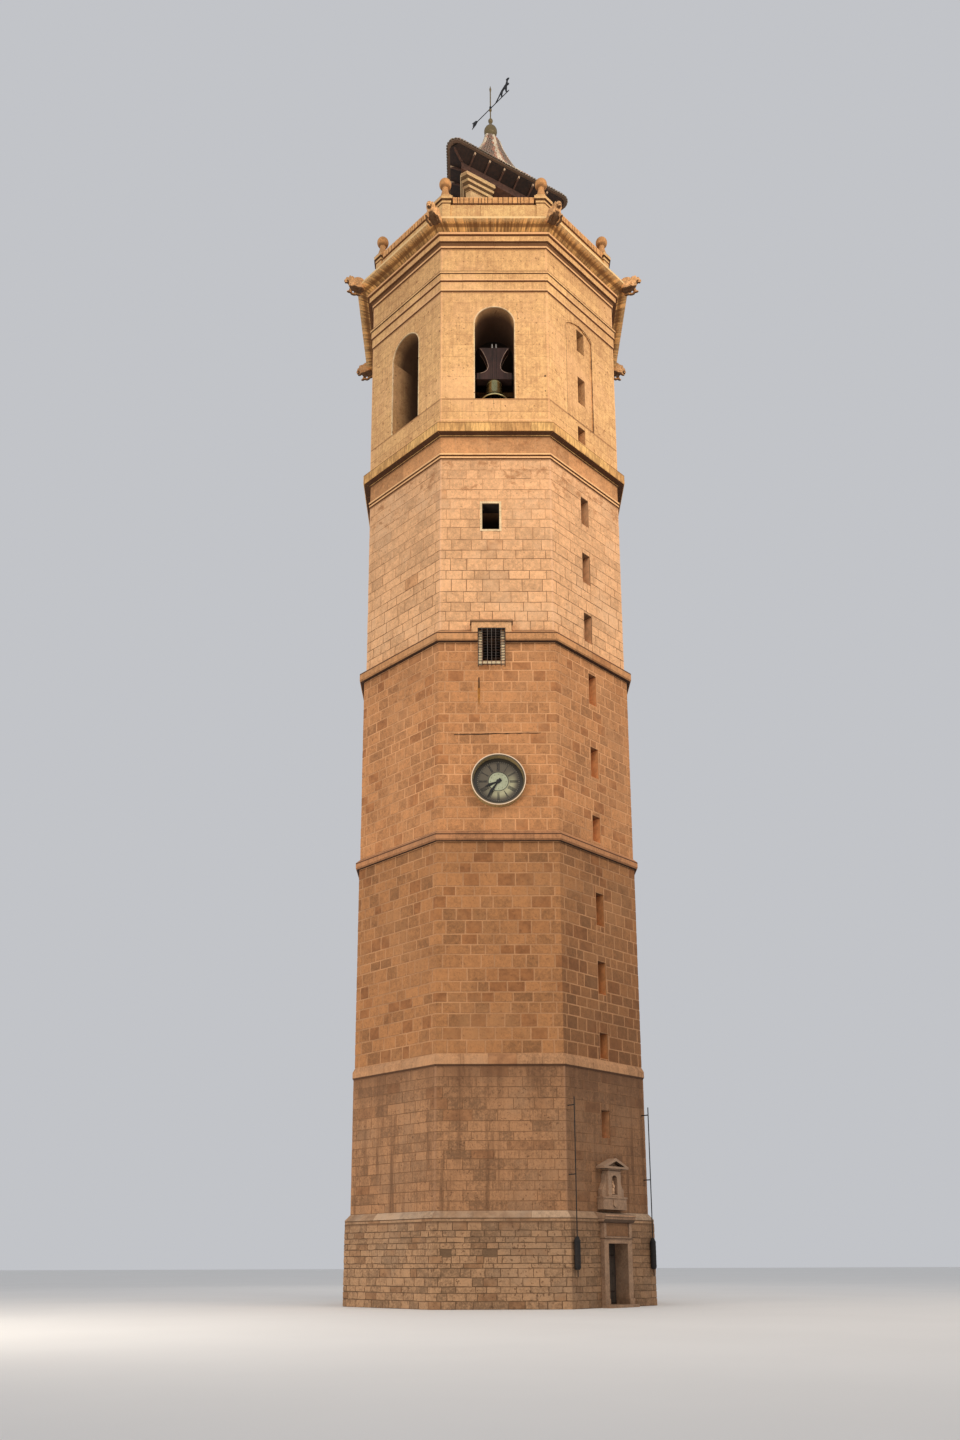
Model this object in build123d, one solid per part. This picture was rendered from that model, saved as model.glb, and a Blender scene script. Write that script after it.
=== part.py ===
from build123d import *
import os
from math import acos, atan2, cos, hypot, pi, radians, sin, sqrt, tan

# A free-standing octagonal stone bell tower, as a model at half the real size. Millimetres.
# The origin is the centre of the tower on the ground. +Z is up, the clock front faces -Y, and
# the doorway is on the slanting face between the front and the right-hand side (+X, -Y).
# Every stage is eight faces. A face is modelled looking along +X: X is outward, Y runs to the
# right as seen from outside, Z is up. on_face() turns it into place.

# Half widths of the octagon, from the centre to the middle of a face
ROOM_HALF = 1850.0
PLINTH_HALF = 3015.0
STAGE_1_HALF = 2915.0
STAGE_2_HALF = 2895.0
STAGE_3_HALF = 2880.0
STAGE_4_HALF = 2835.0
BELL_STAGE_HALF = 2850.0

# Heights of the stages
PLINTH_TOP = 1540.0
WEATHERING_HEIGHT = 190.0
STAGE_1_HEIGHT = 2660.0
STRING_1_HEIGHT = 240.0
STAGE_2_HEIGHT = 4230.0
STRING_2_HEIGHT = 230.0
STAGE_3_HEIGHT = 4110.0
STRING_3_HEIGHT = 300.0
STAGE_4_HEIGHT = 4655.0
STRING_4_HEIGHT = 295.0
SILL_WALL_HEIGHT = 665.0
ARCH_JAMB_HEIGHT = 1957.0
ARCH_HEAD_HEIGHT = 843.0
ARCHITRAVE_HEIGHT = 500.0
FRIEZE_HEIGHT = 665.0
CORONA_HEIGHT = 320.0
CAVETTO_HEIGHT = 160.0
STAGE_1_BASE = PLINTH_TOP + WEATHERING_HEIGHT
STAGE_1_TOP = STAGE_1_BASE + STAGE_1_HEIGHT
STAGE_2_BASE = STAGE_1_TOP + STRING_1_HEIGHT
STAGE_2_TOP = STAGE_2_BASE + STAGE_2_HEIGHT
STAGE_3_BASE = STAGE_2_TOP + STRING_2_HEIGHT
STAGE_3_TOP = STAGE_3_BASE + STAGE_3_HEIGHT
STAGE_4_BASE = STAGE_3_TOP + STRING_3_HEIGHT
STAGE_4_TOP = STAGE_4_BASE + STAGE_4_HEIGHT
BELL_STAGE_BASE = STAGE_4_TOP + STRING_4_HEIGHT
SILL_HEIGHT = BELL_STAGE_BASE + SILL_WALL_HEIGHT
ARCH_SPRING = SILL_HEIGHT + ARCH_JAMB_HEIGHT
BELL_STAGE_TOP = ARCH_SPRING + ARCH_HEAD_HEIGHT
FRIEZE_BASE = BELL_STAGE_TOP + ARCHITRAVE_HEIGHT
FRIEZE_TOP = FRIEZE_BASE + FRIEZE_HEIGHT
CAVETTO_BASE = FRIEZE_TOP + CORONA_HEIGHT
TERRACE = CAVETTO_BASE + CAVETTO_HEIGHT

# How far the mouldings stand out of the wall below them
STRING_1_OUT = 25.0
STRING_2_OUT = 75.0
STRING_3_OUT = 100.0
STRING_4_OUT = 165.0
STRING_LIP = 30.0
STRING_FASCIA = 0.62
ASTRAGAL_OUT = 38.0
ASTRAGAL_HEIGHT = 147.0
ASTRAGAL_DROP = 565.0
ARCHITRAVE_OUT = 20.0
ARCHITRAVE_STEP = 26.0
ARCHITRAVE_FILLET = 60.0
CORONA_OUT = 105.0
CORONA_LIP = 45.0
CORONA_SOFFIT = 110.0
CORONA_FILLET = 70.0
BED_OUT = 25.0
CAVETTO_HALF = 3250.0
FILLET_HEIGHT = 55.0

# Floors inside
FLOOR_THICKNESS = 220.0
GROUND_FLOOR = 50.0
GRILLE_FLOOR_TOP = STAGE_3_BASE + STAGE_3_HEIGHT * 0.81022
UPPER_FLOOR_TOP = STAGE_4_BASE + STAGE_4_HEIGHT * 0.44254
BELL_FLOOR_TOP = BELL_STAGE_BASE + GROUND_FLOOR * 1.2

# Open joint between two stones that meet at a corner of the octagon, and the seat of curved faces
CORNER_JOINT = 2.0
SEAT = 0.3
RUNNING_GAP = 6.0

# Bell arches, and the low blind arch that takes their place on the doorway face
ARCH_HALF = 438.0
BLIND_SIDE = -100.0
BLIND_HALF = 450.0
BLIND_CROWN_DROP = 205.0
BLIND_RISE = 200.0
BLIND_RECESS = 30.0
BLIND_THICKNESS = 800.0

# Stair slits on the doorway face. For a stage: how far right of the middle they stand, and for
# each slit its sill as a share of the stage's height, and its height
SLIT_WIDTH = 250.0
SLITS_STAGE_1 = (-25.0, [(0.52481, 528.0)])
SLITS_STAGE_2 = (18.0, [(0.00946, 510.0), (0.31442, 670.0), (0.64775, 685.0)])
SLITS_STAGE_3 = (0.0, [(0.01703, 560.0), (0.36010, 667.0), (0.76083, 703.0)])
SLITS_STAGE_4 = (-40.0, [(0.03974, 660.0), (0.34307, 710.0), (0.65091, 670.0)])
SLITS_SILL = (-90.0, [(0.22556, 385.0)])
SLITS_BLIND_ARCH = (-15.0, [(0.19464, 695.0), (0.69107, 580.0)])

# Front windows, both a little left of the middle
WINDOW_SIDE = -108.0
UPPER_WINDOW_WIDTH = 364.0
UPPER_WINDOW_SILL = STAGE_4_BASE + STAGE_4_HEIGHT * 0.51
UPPER_WINDOW_HEIGHT = 626.0
SURROUND_WIDTH = 45.0
SURROUND_OUT = 14.0
GRILLE_WINDOW_WIDTH = 370.0
GRILLE_WINDOW_DROP = 405.0
GRILLE_WINDOW_SILL = STAGE_3_TOP - GRILLE_WINDOW_DROP
HOOD_WIDTH = 822.0
HOOD_RISE = 155.0
HOOD_EDGE = 40.0
HOOD_TOP = STAGE_4_BASE + HOOD_RISE
HOOD_LIP = 28.0
CAGE_WIDTH = 562.0
CAGE_BELOW = 140.0
CAGE_SILL = GRILLE_WINDOW_SILL - CAGE_BELOW
CAGE_TOP_DROP = 24.0
CAGE_TOP = STAGE_4_BASE - CAGE_TOP_DROP
CAGE_GAP = 5.0
CAGE_BAR = 16.0
CAGE_STAND_OFF = 90.0

# Doorway
DOOR_HALF = 287.0
DOOR_HEAD = 1150.0
PASSAGE_HALF = 330.0
PASSAGE_HEAD = 1200.0
JAMB_WIDTH = 130.0
JAMB_FOOT_HEIGHT = 110.0
JAMB_FOOT_OUT = 16.0
SURROUND_DEPTH = 95.0
LINING_DEPTH = 215.0
DOOR_LINTEL_HEIGHT = 85.0
DOOR_BEAD_HEIGHT = 28.0
DOOR_BEAD_OUT = 20.0
DOOR_FRIEZE_TOP = PLINTH_TOP - GROUND_FLOOR * 0.2
DOOR_PANEL_HALF = 340.0
DOOR_PANEL_RECESS = 30.0
DOOR_CORNICE_HEIGHT = 135.0
DOOR_CORNICE_HALF = 460.0
DOOR_CORNICE_OUT = 180.0
STEP_OUT = 210.0
STEP_HALF = 440.0
DOOR_THICKNESS = 35.0
DOOR_SIDE_GAP = 10.0
DOOR_END_GAP = 8.0
DOOR_PIVOT_R = 12.0
DOOR_PIVOT_DEPTH = 25.0

# Niche over the doorway
NICHE_LIFT = 40.0
NICHE_HALF = 350.0
NICHE_BASE_HEIGHT = 240.0
NICHE_LEDGE = 30.0
NICHE_BODY_HALF = 190.0
NICHE_BODY_HEIGHT = 520.0
NICHE_OUT = 150.0
NICHE_HOLLOW_HALF = 85.0
NICHE_HOLLOW_DEPTH = 90.0
NICHE_HOLLOW_HEIGHT = 400.0
SCROLL_FOOT = 135.0
SCROLL_HEIGHT = 430.0
SCROLL_OUT = 105.0
SHIELD_HALF = 65.0
SHIELD_OUT = 22.0
PEDIMENT_HALF = 372.0
PEDIMENT_HEIGHT = 200.0
PEDIMENT_OUT = 210.0
PEDIMENT_BAND = 42.0
PEDIMENT_RECESS = 120.0

# Wall rods beside the doorway face
ROD_SIDES = [-1148.0, 1114.0]
ROD_R = 10.0
ROD_STAND_OFF = 165.0
ROD_LOW = 560.0
ROD_TOP = 3800.0
ROD_ARMS = [3650.0, 2380.0]
TUBE_R = 55.0
TUBE_LOW = 680.0
TUBE_HIGH = 1265.0
TUBE_TAPER = 70.0
TUBE_CLAMP = 120.0

# Clock
CLOCK_SIDE = 10.0
CLOCK_HEIGHT = STAGE_3_BASE + STAGE_3_HEIGHT * 0.25061
CLOCK_R = 545.0
CLOCK_RING = 45.0
CLOCK_OUT = 150.0
DIAL_THICKNESS = 15.0
HAND_THICKNESS = 6.0
HOUR_HAND = 290.0
MINUTE_HAND = 400.0
HAND_WIDTH = 42.0
HAND_TAIL = 70.0
PIPE_R = 20.0
ARBOR_R = 12.0
PIN_GAP = 0.3
HOUR_ANGLE = 248.0
MINUTE_ANGLE = 214.0

# Bell, hung in the middle of the front wall's thickness
PIVOT_RISE = 943.0
PIVOT_HEIGHT = SILL_HEIGHT + PIVOT_RISE
BELL_R = 310.0
BELL_WAIST_R = 178.0
BELL_SHOULDER_R = 165.0
BELL_FLARE = 3.2
BELL_CROWN_R = 60.0
BELL_CROWN_HEIGHT = 60.0
BELL_MOUTH_DROP = 663.0
BELL_CROWN_DROP = 112.0
BELL_WALL = 24.0
YOKE_TOP_RISE = 740.0
YOKE_TOP_HALF = 335.0
YOKE_NECK_HALF = 140.0
YOKE_NECK_RISE = 300.0
YOKE_ARM_HALF = 390.0
YOKE_ARM_UP = 75.0
YOKE_ARM_DOWN = 90.0
YOKE_HEAD = 27.0
YOKE_THICKNESS = 190.0
YOKE_BOLT_R = 14.0
YOKE_BOLT_RISE = 70.0
YOKE_BOLT_SIDE = 45.0
GUDGEON_R = 22.0
BEARING_THICKNESS = 26.0
BEARING_HALF = 70.0
CLAPPER_PIN_R = 9.0
CLAPPER_PIN_DROP = 230.0
CLAPPER_BALL_R = 52.0
CLAPPER_LENGTH = 380.0
CLAPPER_EYE_R = 24.0
CLAPPER_EYE_WIDTH = 26.0
LUG_THICKNESS = 14.0

# Parapet round the terrace
PARAPET_HALF = 2790.0
PARAPET_THICKNESS = 250.0
PARAPET_HEIGHT = 820.0
PARAPET_TOP = TERRACE + PARAPET_HEIGHT
COPING_OUT = 30.0
COPING_HEIGHT = 185.0
PEDESTAL_OUT = 35.0
PEDESTAL_ARM = 185.0
CAP_OUT = 48.0
CAP_HEIGHT = 250.0
BALL_R = 140.0
BALL_RISE = 445.0
BALL_CENTRE = PARAPET_TOP + CAP_HEIGHT + BALL_RISE
BALL_HALF = 2675.0

# Gargoyles, one at each corner of the cornice
GARGOYLE_REACH = 3830.0
GARGOYLE_WIDTH = 310.0
GARGOYLE_RISE = 210.0
GARGOYLE_BACK = TERRACE + GARGOYLE_RISE
GARGOYLE_HEAD = TERRACE + GARGOYLE_RISE * 0.64

# Three-sided pavilion on the terrace
SHAFT_IN = 645.0
SHAFT_ARM = 690.0
SHAFT_DEPTH = 330.0
SHAFT_CHAMFER = 130.0
SHAFT_HEIGHT = 3175.0
CAPITAL_HEIGHT = 400.0
CAPITAL_BASE = TERRACE + SHAFT_HEIGHT
CAPITAL_TOP = CAPITAL_BASE + CAPITAL_HEIGHT
CAPITAL_OUT = 140.0
CAPITAL_BANDS = 3
CAPITAL_ROUND = 0.42
LINTEL_DEPTH = 330.0
LINTEL_HEIGHT = 190.0
EAVES_IN = 1095.0
EAVES_RISE = 175.0
EAVES_HEIGHT = CAPITAL_TOP + LINTEL_HEIGHT + EAVES_RISE
EAVES_ROUND = 225.0
EAVES_EDGE = 45.0
STRUT_PITCH = 410.0
STRUT_SIZE = 42.0
BOARD_THICKNESS = 26.0
BOARD_LAP = 60.0
BOARD_INSET = 50.0
ROOF_SKIN = 70.0
# Roof levels above the eaves: height, half width of a side, reach of a hip, rounding of the hip
ROOF_LEVELS = [
    (375.0, 810.0, 1375.0, 140.0),
    (775.0, 550.0, 850.0, 90.0),
    (1115.0, 400.0, 600.0, 60.0),
    (1375.0, 300.0, 460.0, 50.0),
    (1700.0, 210.0, 300.0, 40.0),
    (2075.0, 160.0, 190.0, 30.0),
]
FINIAL_R = 172.0
FINIAL_RISE = 240.0
FINIAL_CENTRE = EAVES_HEIGHT + ROOF_LEVELS[-1][0] + FINIAL_RISE
FINIAL_STEM_R = 50.0
KNOB_R = 62.0
KNOB_RISE = 365.0
KNOB_HEIGHT = FINIAL_CENTRE + KNOB_RISE
VANE_ROD_R = 16.0
VANE_RISE = 420.0
VANE_TIP_RISE = 770.0

# Weather vane
VANE_HEIGHT = KNOB_HEIGHT + VANE_RISE
VANE_ROD_TOP = VANE_HEIGHT + VANE_TIP_RISE
VANE_ANGLE = -46.0
VANE_BAR = 22.0
VANE_PLATE = 12.0
VANE_FRONT = 690.0
VANE_BACK = 675.0
VANE_SLEEVE_R = 30.0
VANE_SLEEVE_LENGTH = 90.0
COLLAR_R = 34.0
COLLAR_HEIGHT = 30.0

HALF_FACE = radians(22.5)
FACES = range(8)
FRONT_FACE = 0
DOOR_FACE = 1
FRONT_AZIMUTH = -90.0


def side_half(half_width):
    """Half the length of one side of an octagon of this half width."""
    return half_width * tan(HALF_FACE)


def on_face(face, shape):
    return Rot(0, 0, FRONT_AZIMUTH + 45 * face) * shape


def on_corner(corner, shape):
    """Turns a shape made looking along +X to the corner after a face."""
    return Rot(0, 0, FRONT_AZIMUTH + 22.5 + 45 * corner) * shape


def save(name, shapes):
    solids = shapes if isinstance(shapes, list) else [shapes]
    export_step(Compound(solids) if len(solids) > 1 else solids[0], f"parts/{name}.step")


def block(x0, x1, y0, y1, z0, z1):
    return Pos((x0 + x1) / 2, (y0 + y1) / 2, (z0 + z1) / 2) * Box(x1 - x0, y1 - y0, z1 - z0)


def slab(points, z0, z1):
    """A level slab with the given outline."""
    outline = make_face(Polyline(*[(x, y, z0) for x, y in points], close=True))
    return extrude(outline, amount=z1 - z0, dir=(0, 0, 1))


def octagon(half_width, z0, z1):
    reach = half_width / cos(HALF_FACE)
    angles = [HALF_FACE + radians(45) * corner for corner in FACES]
    return slab([(reach * cos(a), reach * sin(a)) for a in angles], z0, z1)


def stone(profile, joint=CORNER_JOINT):
    """One face of a mitred ring, from its section as (outward, height) points."""
    reach = max(x for x, z in profile) + 100
    low = min(z for x, z in profile) - 10
    high = max(z for x, z in profile) + 10
    section = make_face(Polyline(*[(x, 0, z) for x, z in profile], close=True))
    bar = extrude(section, amount=side_half(reach), dir=(0, 1, 0), both=True)
    tip = joint / 2 / sin(HALF_FACE)
    wedge = slab([(tip, 0), (reach, -(reach - tip) * tan(HALF_FACE)),
                  (reach, (reach - tip) * tan(HALF_FACE))], low, high)
    return bar & wedge


def ring(profile):
    piece = stone(profile)
    return [on_face(face, piece) for face in FACES]


def wall(half_width, low, high):
    return stone([(ROOM_HALF, low), (half_width, low), (half_width, high), (ROOM_HALF, high)])


def split(panel, side, width, openings):
    """Splits a panel beside, over and under its openings, given as (sill, height) from the lowest up."""
    y0, y1 = side - width / 2, side + width / 2
    box = panel.bounding_box()
    x0, x1, low, high = box.min.X - 1, box.max.X + 1, box.min.Z, box.max.Z
    pieces = [panel & block(x0, x1, box.min.Y - 1, y0, low - 1, high + 1),
              panel & block(x0, x1, y1, box.max.Y + 1, low - 1, high + 1)]
    foot = low
    for sill, height in openings + [(high, 0)]:
        if sill > foot:
            pieces.append(panel & block(x0, x1, y0 + SEAT, y1 - SEAT, foot, sill))
        foot = sill + height
    return pieces


def walls(half_width, low, high, openings):
    """Wall panels of a stage. openings gives (side, width, [(sill, height)]) for some faces."""
    panel = wall(half_width, low, high)
    pieces = []
    for face in FACES:
        stones = split(panel, *openings[face]) if face in openings else [panel]
        pieces += [on_face(face, piece) for piece in stones]
    return pieces


def slits(base, stage_height, row):
    side, openings = row
    return side, SLIT_WIDTH, [(base + share * stage_height, height) for share, height in openings]


def string_course(below, above, base, top, out):
    """A string course: a fascia under a lip, with its top sloping back to the wall above."""
    lip = base + (top - base) * STRING_FASCIA
    return [(ROOM_HALF, base), (below + out - STRING_LIP * 0.6, base), (below + out, base + STRING_LIP),
            (below + out, lip), (above, top), (ROOM_HALF, top)]


def corner_stone(half_width, depth, arm, next_arm=None):
    """Outline of a stone round a corner of the octagon, flat at the back, seen along +X."""
    arms = []
    for length in (arm, arm if next_arm is None else next_arm):
        end = side_half(half_width) - length
        arms.append([(x * cos(HALF_FACE) + end * sin(HALF_FACE), -x * sin(HALF_FACE) + end * cos(HALF_FACE))
                     for x in (half_width - depth, half_width)])
    return arms[0] + [(half_width / cos(HALF_FACE), 0)] + [(x, -y) for x, y in reversed(arms[1])]


def plinth():
    cut = block(0, PLINTH_HALF + 100, -PASSAGE_HALF, PASSAGE_HALF, -10, PLINTH_TOP + 10)
    panel = wall(PLINTH_HALF, 0, PLINTH_TOP)
    pieces = [on_face(face, panel) for face in FACES if face != DOOR_FACE]
    pieces += [on_face(DOOR_FACE, side) for side in (panel - cut).solids()]
    save("plinth_walls", pieces)
    over = block(ROOM_HALF, PLINTH_HALF, -PASSAGE_HALF, PASSAGE_HALF, PASSAGE_HEAD, PLINTH_TOP)
    save("door_lintel_wall", on_face(DOOR_FACE, over))
    save("plinth_weathering", ring([(ROOM_HALF, PLINTH_TOP), (PLINTH_HALF, PLINTH_TOP),
                                    (STAGE_1_HALF, STAGE_1_BASE), (ROOM_HALF, STAGE_1_BASE)]))


def stages():
    save("stage_1_walls", walls(STAGE_1_HALF, STAGE_1_BASE, STAGE_1_TOP,
                                {DOOR_FACE: slits(STAGE_1_BASE, STAGE_1_HEIGHT, SLITS_STAGE_1)}))
    save("string_course_1", ring(string_course(STAGE_1_HALF, STAGE_2_HALF, STAGE_1_TOP, STAGE_2_BASE,
                                               STRING_1_OUT)))
    save("stage_2_walls", walls(STAGE_2_HALF, STAGE_2_BASE, STAGE_2_TOP,
                                {DOOR_FACE: slits(STAGE_2_BASE, STAGE_2_HEIGHT, SLITS_STAGE_2)}))
    save("string_course_2", ring(string_course(STAGE_2_HALF, STAGE_3_HALF, STAGE_2_TOP, STAGE_3_BASE,
                                               STRING_2_OUT)))
    grille = (WINDOW_SIDE, GRILLE_WINDOW_WIDTH, [(GRILLE_WINDOW_SILL, STAGE_3_TOP - GRILLE_WINDOW_SILL)])
    save("stage_3_walls", walls(STAGE_3_HALF, STAGE_3_BASE, STAGE_3_TOP,
                                {FRONT_FACE: grille,
                                 DOOR_FACE: slits(STAGE_3_BASE, STAGE_3_HEIGHT, SLITS_STAGE_3)}))
    string_course_3()
    window_side = UPPER_WINDOW_WIDTH / 2
    window_cut = block(0, PLINTH_HALF, WINDOW_SIDE - window_side, WINDOW_SIDE + window_side,
                       UPPER_WINDOW_SILL, UPPER_WINDOW_SILL + UPPER_WINDOW_HEIGHT)
    astragal_top = STAGE_4_TOP - ASTRAGAL_DROP + ASTRAGAL_HEIGHT
    window = (WINDOW_SIDE, UPPER_WINDOW_WIDTH, [(UPPER_WINDOW_SILL, UPPER_WINDOW_HEIGHT)])
    save("stage_4_walls", walls(STAGE_4_HALF, STAGE_4_BASE, STAGE_4_TOP,
                                {FRONT_FACE: window,
                                 DOOR_FACE: slits(STAGE_4_BASE, STAGE_4_HEIGHT, SLITS_STAGE_4)}))
    profile = [(0, 0), (0.7, 0.08), (0.7, 0.36), (0.2, 0.44), (0.2, 0.54), (1, 0.6), (1, 0.88), (0, 1)]
    astragal = ring([(STAGE_4_HALF + out * ASTRAGAL_OUT, astragal_top - (1 - rise) * ASTRAGAL_HEIGHT)
                     for out, rise in profile])
    save("string_course_4", astragal + ring(string_course(STAGE_4_HALF, BELL_STAGE_HALF, STAGE_4_TOP,
                                                          BELL_STAGE_BASE, STRING_4_OUT)))
    frame = block(STAGE_4_HALF, STAGE_4_HALF + SURROUND_OUT,
                  WINDOW_SIDE - window_side - SURROUND_WIDTH, WINDOW_SIDE + window_side + SURROUND_WIDTH,
                  UPPER_WINDOW_SILL - SURROUND_WIDTH, UPPER_WINDOW_SILL + UPPER_WINDOW_HEIGHT + SURROUND_WIDTH)
    save("upper_window_surround", on_face(FRONT_FACE, frame - window_cut))


def string_course_3():
    """The string course that ends beside the window cage, and the hood that it carries over it."""
    course = stone(string_course(STAGE_3_HALF, STAGE_4_HALF, STAGE_3_TOP, STAGE_4_BASE, STRING_3_OUT))
    cage_side = CAGE_WIDTH / 2 + CAGE_GAP
    low, high = WINDOW_SIDE - cage_side, WINDOW_SIDE + cage_side
    beside = course - block(0, PLINTH_HALF + 100, low, high, STAGE_3_TOP - 10, STAGE_4_BASE + 10)
    pieces = [on_face(face, course) for face in FACES if face != FRONT_FACE]
    pieces += [on_face(FRONT_FACE, side) for side in beside.solids()]
    grille_side = GRILLE_WINDOW_WIDTH / 2
    for y0, y1 in ((low + SEAT, WINDOW_SIDE - grille_side), (WINDOW_SIDE + grille_side, high - SEAT)):
        pieces.append(on_face(FRONT_FACE, block(ROOM_HALF, STAGE_3_HALF, y0, y1, STAGE_3_TOP, STAGE_4_BASE)))
    save("string_course_3", pieces)
    hood_side = HOOD_WIDTH / 2
    front = STAGE_3_HALF + STRING_3_OUT
    hood = block(STAGE_4_HALF, front, WINDOW_SIDE - hood_side, WINDOW_SIDE + hood_side,
                 STAGE_3_TOP + STRING_3_HEIGHT / 2, HOOD_TOP - HOOD_EDGE)
    hood += block(STAGE_4_HALF, front + HOOD_LIP, WINDOW_SIDE - hood_side - HOOD_LIP,
                  WINDOW_SIDE + hood_side + HOOD_LIP, HOOD_TOP - HOOD_EDGE, HOOD_TOP)
    hood -= beside
    hood -= block(0, STAGE_3_HALF, low, high, STAGE_3_TOP, STAGE_4_BASE)
    hood -= block(0, front + 10, low, high, STAGE_3_TOP, CAGE_TOP + CAGE_GAP)
    save("window_hood", on_face(FRONT_FACE, hood.solids().sort_by(SortBy.VOLUME)[-1]))


def window_cage():
    """The iron frame that stands off the wall round the grille window."""
    outer = STAGE_3_HALF + CAGE_STAND_OFF
    y0, y1 = WINDOW_SIDE - CAGE_WIDTH / 2, WINDOW_SIDE + CAGE_WIDTH / 2
    frame = block(outer - CAGE_BAR, outer, y0, y1, CAGE_SILL, CAGE_TOP)
    frame -= block(outer - CAGE_BAR, outer, y0 + CAGE_BAR, y1 - CAGE_BAR, CAGE_SILL + CAGE_BAR,
                   CAGE_TOP - CAGE_BAR)
    for y in (y0, y1 - CAGE_BAR):
        for z in (CAGE_SILL, CAGE_TOP - CAGE_BAR):
            frame += block(STAGE_3_HALF, outer, y, y + CAGE_BAR, z, z + CAGE_BAR)
    save("window_cage_frame", on_face(FRONT_FACE, frame))


def floors():
    """The floor of every room and of the terrace."""
    levels = [(0, GROUND_FLOOR)]
    for top in (STAGE_3_BASE, GRILLE_FLOOR_TOP, UPPER_FLOOR_TOP, BELL_FLOOR_TOP, TERRACE):
        levels.append((top - FLOOR_THICKNESS, top))
    save("floors", [octagon(ROOM_HALF, low, high) for low, high in levels])


def arch_outline(half, sill, spring, x):
    """An arched opening's face at a distance x from the tower's centre."""
    edge = Polyline((x, -half, spring), (x, -half, sill), (x, half, sill), (x, half, spring))
    head = ThreePointArc((x, half, spring), (x, 0, spring + half), (x, -half, spring))
    return make_face([edge, head])


def arch_solid(half, sill, spring, x0, x1):
    return extrude(arch_outline(half, sill, spring, x0), amount=x1 - x0, dir=(1, 0, 0))


def bell_stage():
    save("bell_stage_sill_walls", walls(BELL_STAGE_HALF, BELL_STAGE_BASE, SILL_HEIGHT,
                                        {DOOR_FACE: slits(BELL_STAGE_BASE, SILL_WALL_HEIGHT, SLITS_SILL)}))
    side = side_half(BELL_STAGE_HALF)
    arm = side - ARCH_HALF
    arms = {DOOR_FACE - 1: (arm, side + BLIND_SIDE - BLIND_HALF),
            DOOR_FACE: (side - BLIND_SIDE - BLIND_HALF, arm)}
    piers = []
    for corner in FACES:
        outline = corner_stone(BELL_STAGE_HALF, BELL_STAGE_HALF - ROOM_HALF, *arms.get(corner, (arm, arm)))
        piers.append(on_corner(corner, slab(outline, SILL_HEIGHT, ARCH_SPRING)))
    save("bell_stage_piers", piers)
    over = wall(BELL_STAGE_HALF, ARCH_SPRING, BELL_STAGE_TOP)
    head = over - arch_solid(ARCH_HALF, ARCH_SPRING - 10, ARCH_SPRING, ROOM_HALF - 50, BELL_STAGE_HALF + 50)
    save("bell_arches_axial", [on_face(face, head) for face in FACES if face % 2 == 0])
    blind_head = over - blind_arch(0, ARCH_SPRING - 10, ROOM_HALF - 50, BELL_STAGE_HALF + 50)
    save("bell_arches_diagonal", [on_face(face, blind_head if face == DOOR_FACE else head)
                                  for face in FACES if face % 2 == 1])
    front = BELL_STAGE_HALF - BLIND_RECESS
    infill = blind_arch(SEAT, SILL_HEIGHT, front - BLIND_THICKNESS, front)
    openings = slits(SILL_HEIGHT, BELL_STAGE_TOP - SILL_HEIGHT, SLITS_BLIND_ARCH)
    save("blind_arch_infill", [on_face(DOOR_FACE, piece) for piece in split(infill, *openings)])


def blind_arch(inset, low, x0, x1):
    """The low arched shape on the doorway face, drawn in by an inset."""
    half = BLIND_HALF - inset
    crown = BELL_STAGE_TOP - BLIND_CROWN_DROP - inset
    spring = crown - BLIND_RISE
    y0, y1 = BLIND_SIDE - half, BLIND_SIDE + half
    edge = Polyline((x0, y0, spring), (x0, y0, low), (x0, y1, low), (x0, y1, spring))
    head = ThreePointArc((x0, y1, spring), (x0, BLIND_SIDE, crown), (x0, y0, spring))
    return extrude(make_face([edge, head]), amount=x1 - x0, dir=(1, 0, 0))


def entablature():
    face_1 = BELL_STAGE_HALF + ARCHITRAVE_OUT
    face_2 = face_1 + ARCHITRAVE_STEP
    middle = (BELL_STAGE_TOP + FRIEZE_BASE) / 2
    save("architrave", ring([(ROOM_HALF, BELL_STAGE_TOP), (face_1, BELL_STAGE_TOP), (face_1, middle),
                             (face_2, middle), (face_2, FRIEZE_BASE - ARCHITRAVE_FILLET),
                             (face_2 + ARCHITRAVE_STEP, FRIEZE_BASE - ARCHITRAVE_FILLET),
                             (face_2 + ARCHITRAVE_STEP, FRIEZE_BASE), (ROOM_HALF, FRIEZE_BASE)]))
    save("frieze", ring([(ROOM_HALF, FRIEZE_BASE), (BELL_STAGE_HALF, FRIEZE_BASE),
                         (BELL_STAGE_HALF, FRIEZE_TOP), (ROOM_HALF, FRIEZE_TOP)]))
    bed = BELL_STAGE_HALF + BED_OUT
    corona = BELL_STAGE_HALF + CORONA_OUT
    lip = corona + CORONA_LIP
    soffit = FRIEZE_TOP + CORONA_SOFFIT
    save("corona", ring([(ROOM_HALF, FRIEZE_TOP), (bed, FRIEZE_TOP), (bed + BED_OUT, soffit),
                         (corona, soffit), (corona, CAVETTO_BASE - CORONA_FILLET),
                         (lip, CAVETTO_BASE - CORONA_FILLET), (lip, CAVETTO_BASE),
                         (ROOM_HALF, CAVETTO_BASE)]))
    save("cavetto", ring(cavetto_profile()))
    terrace_gargoyles()


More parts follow.
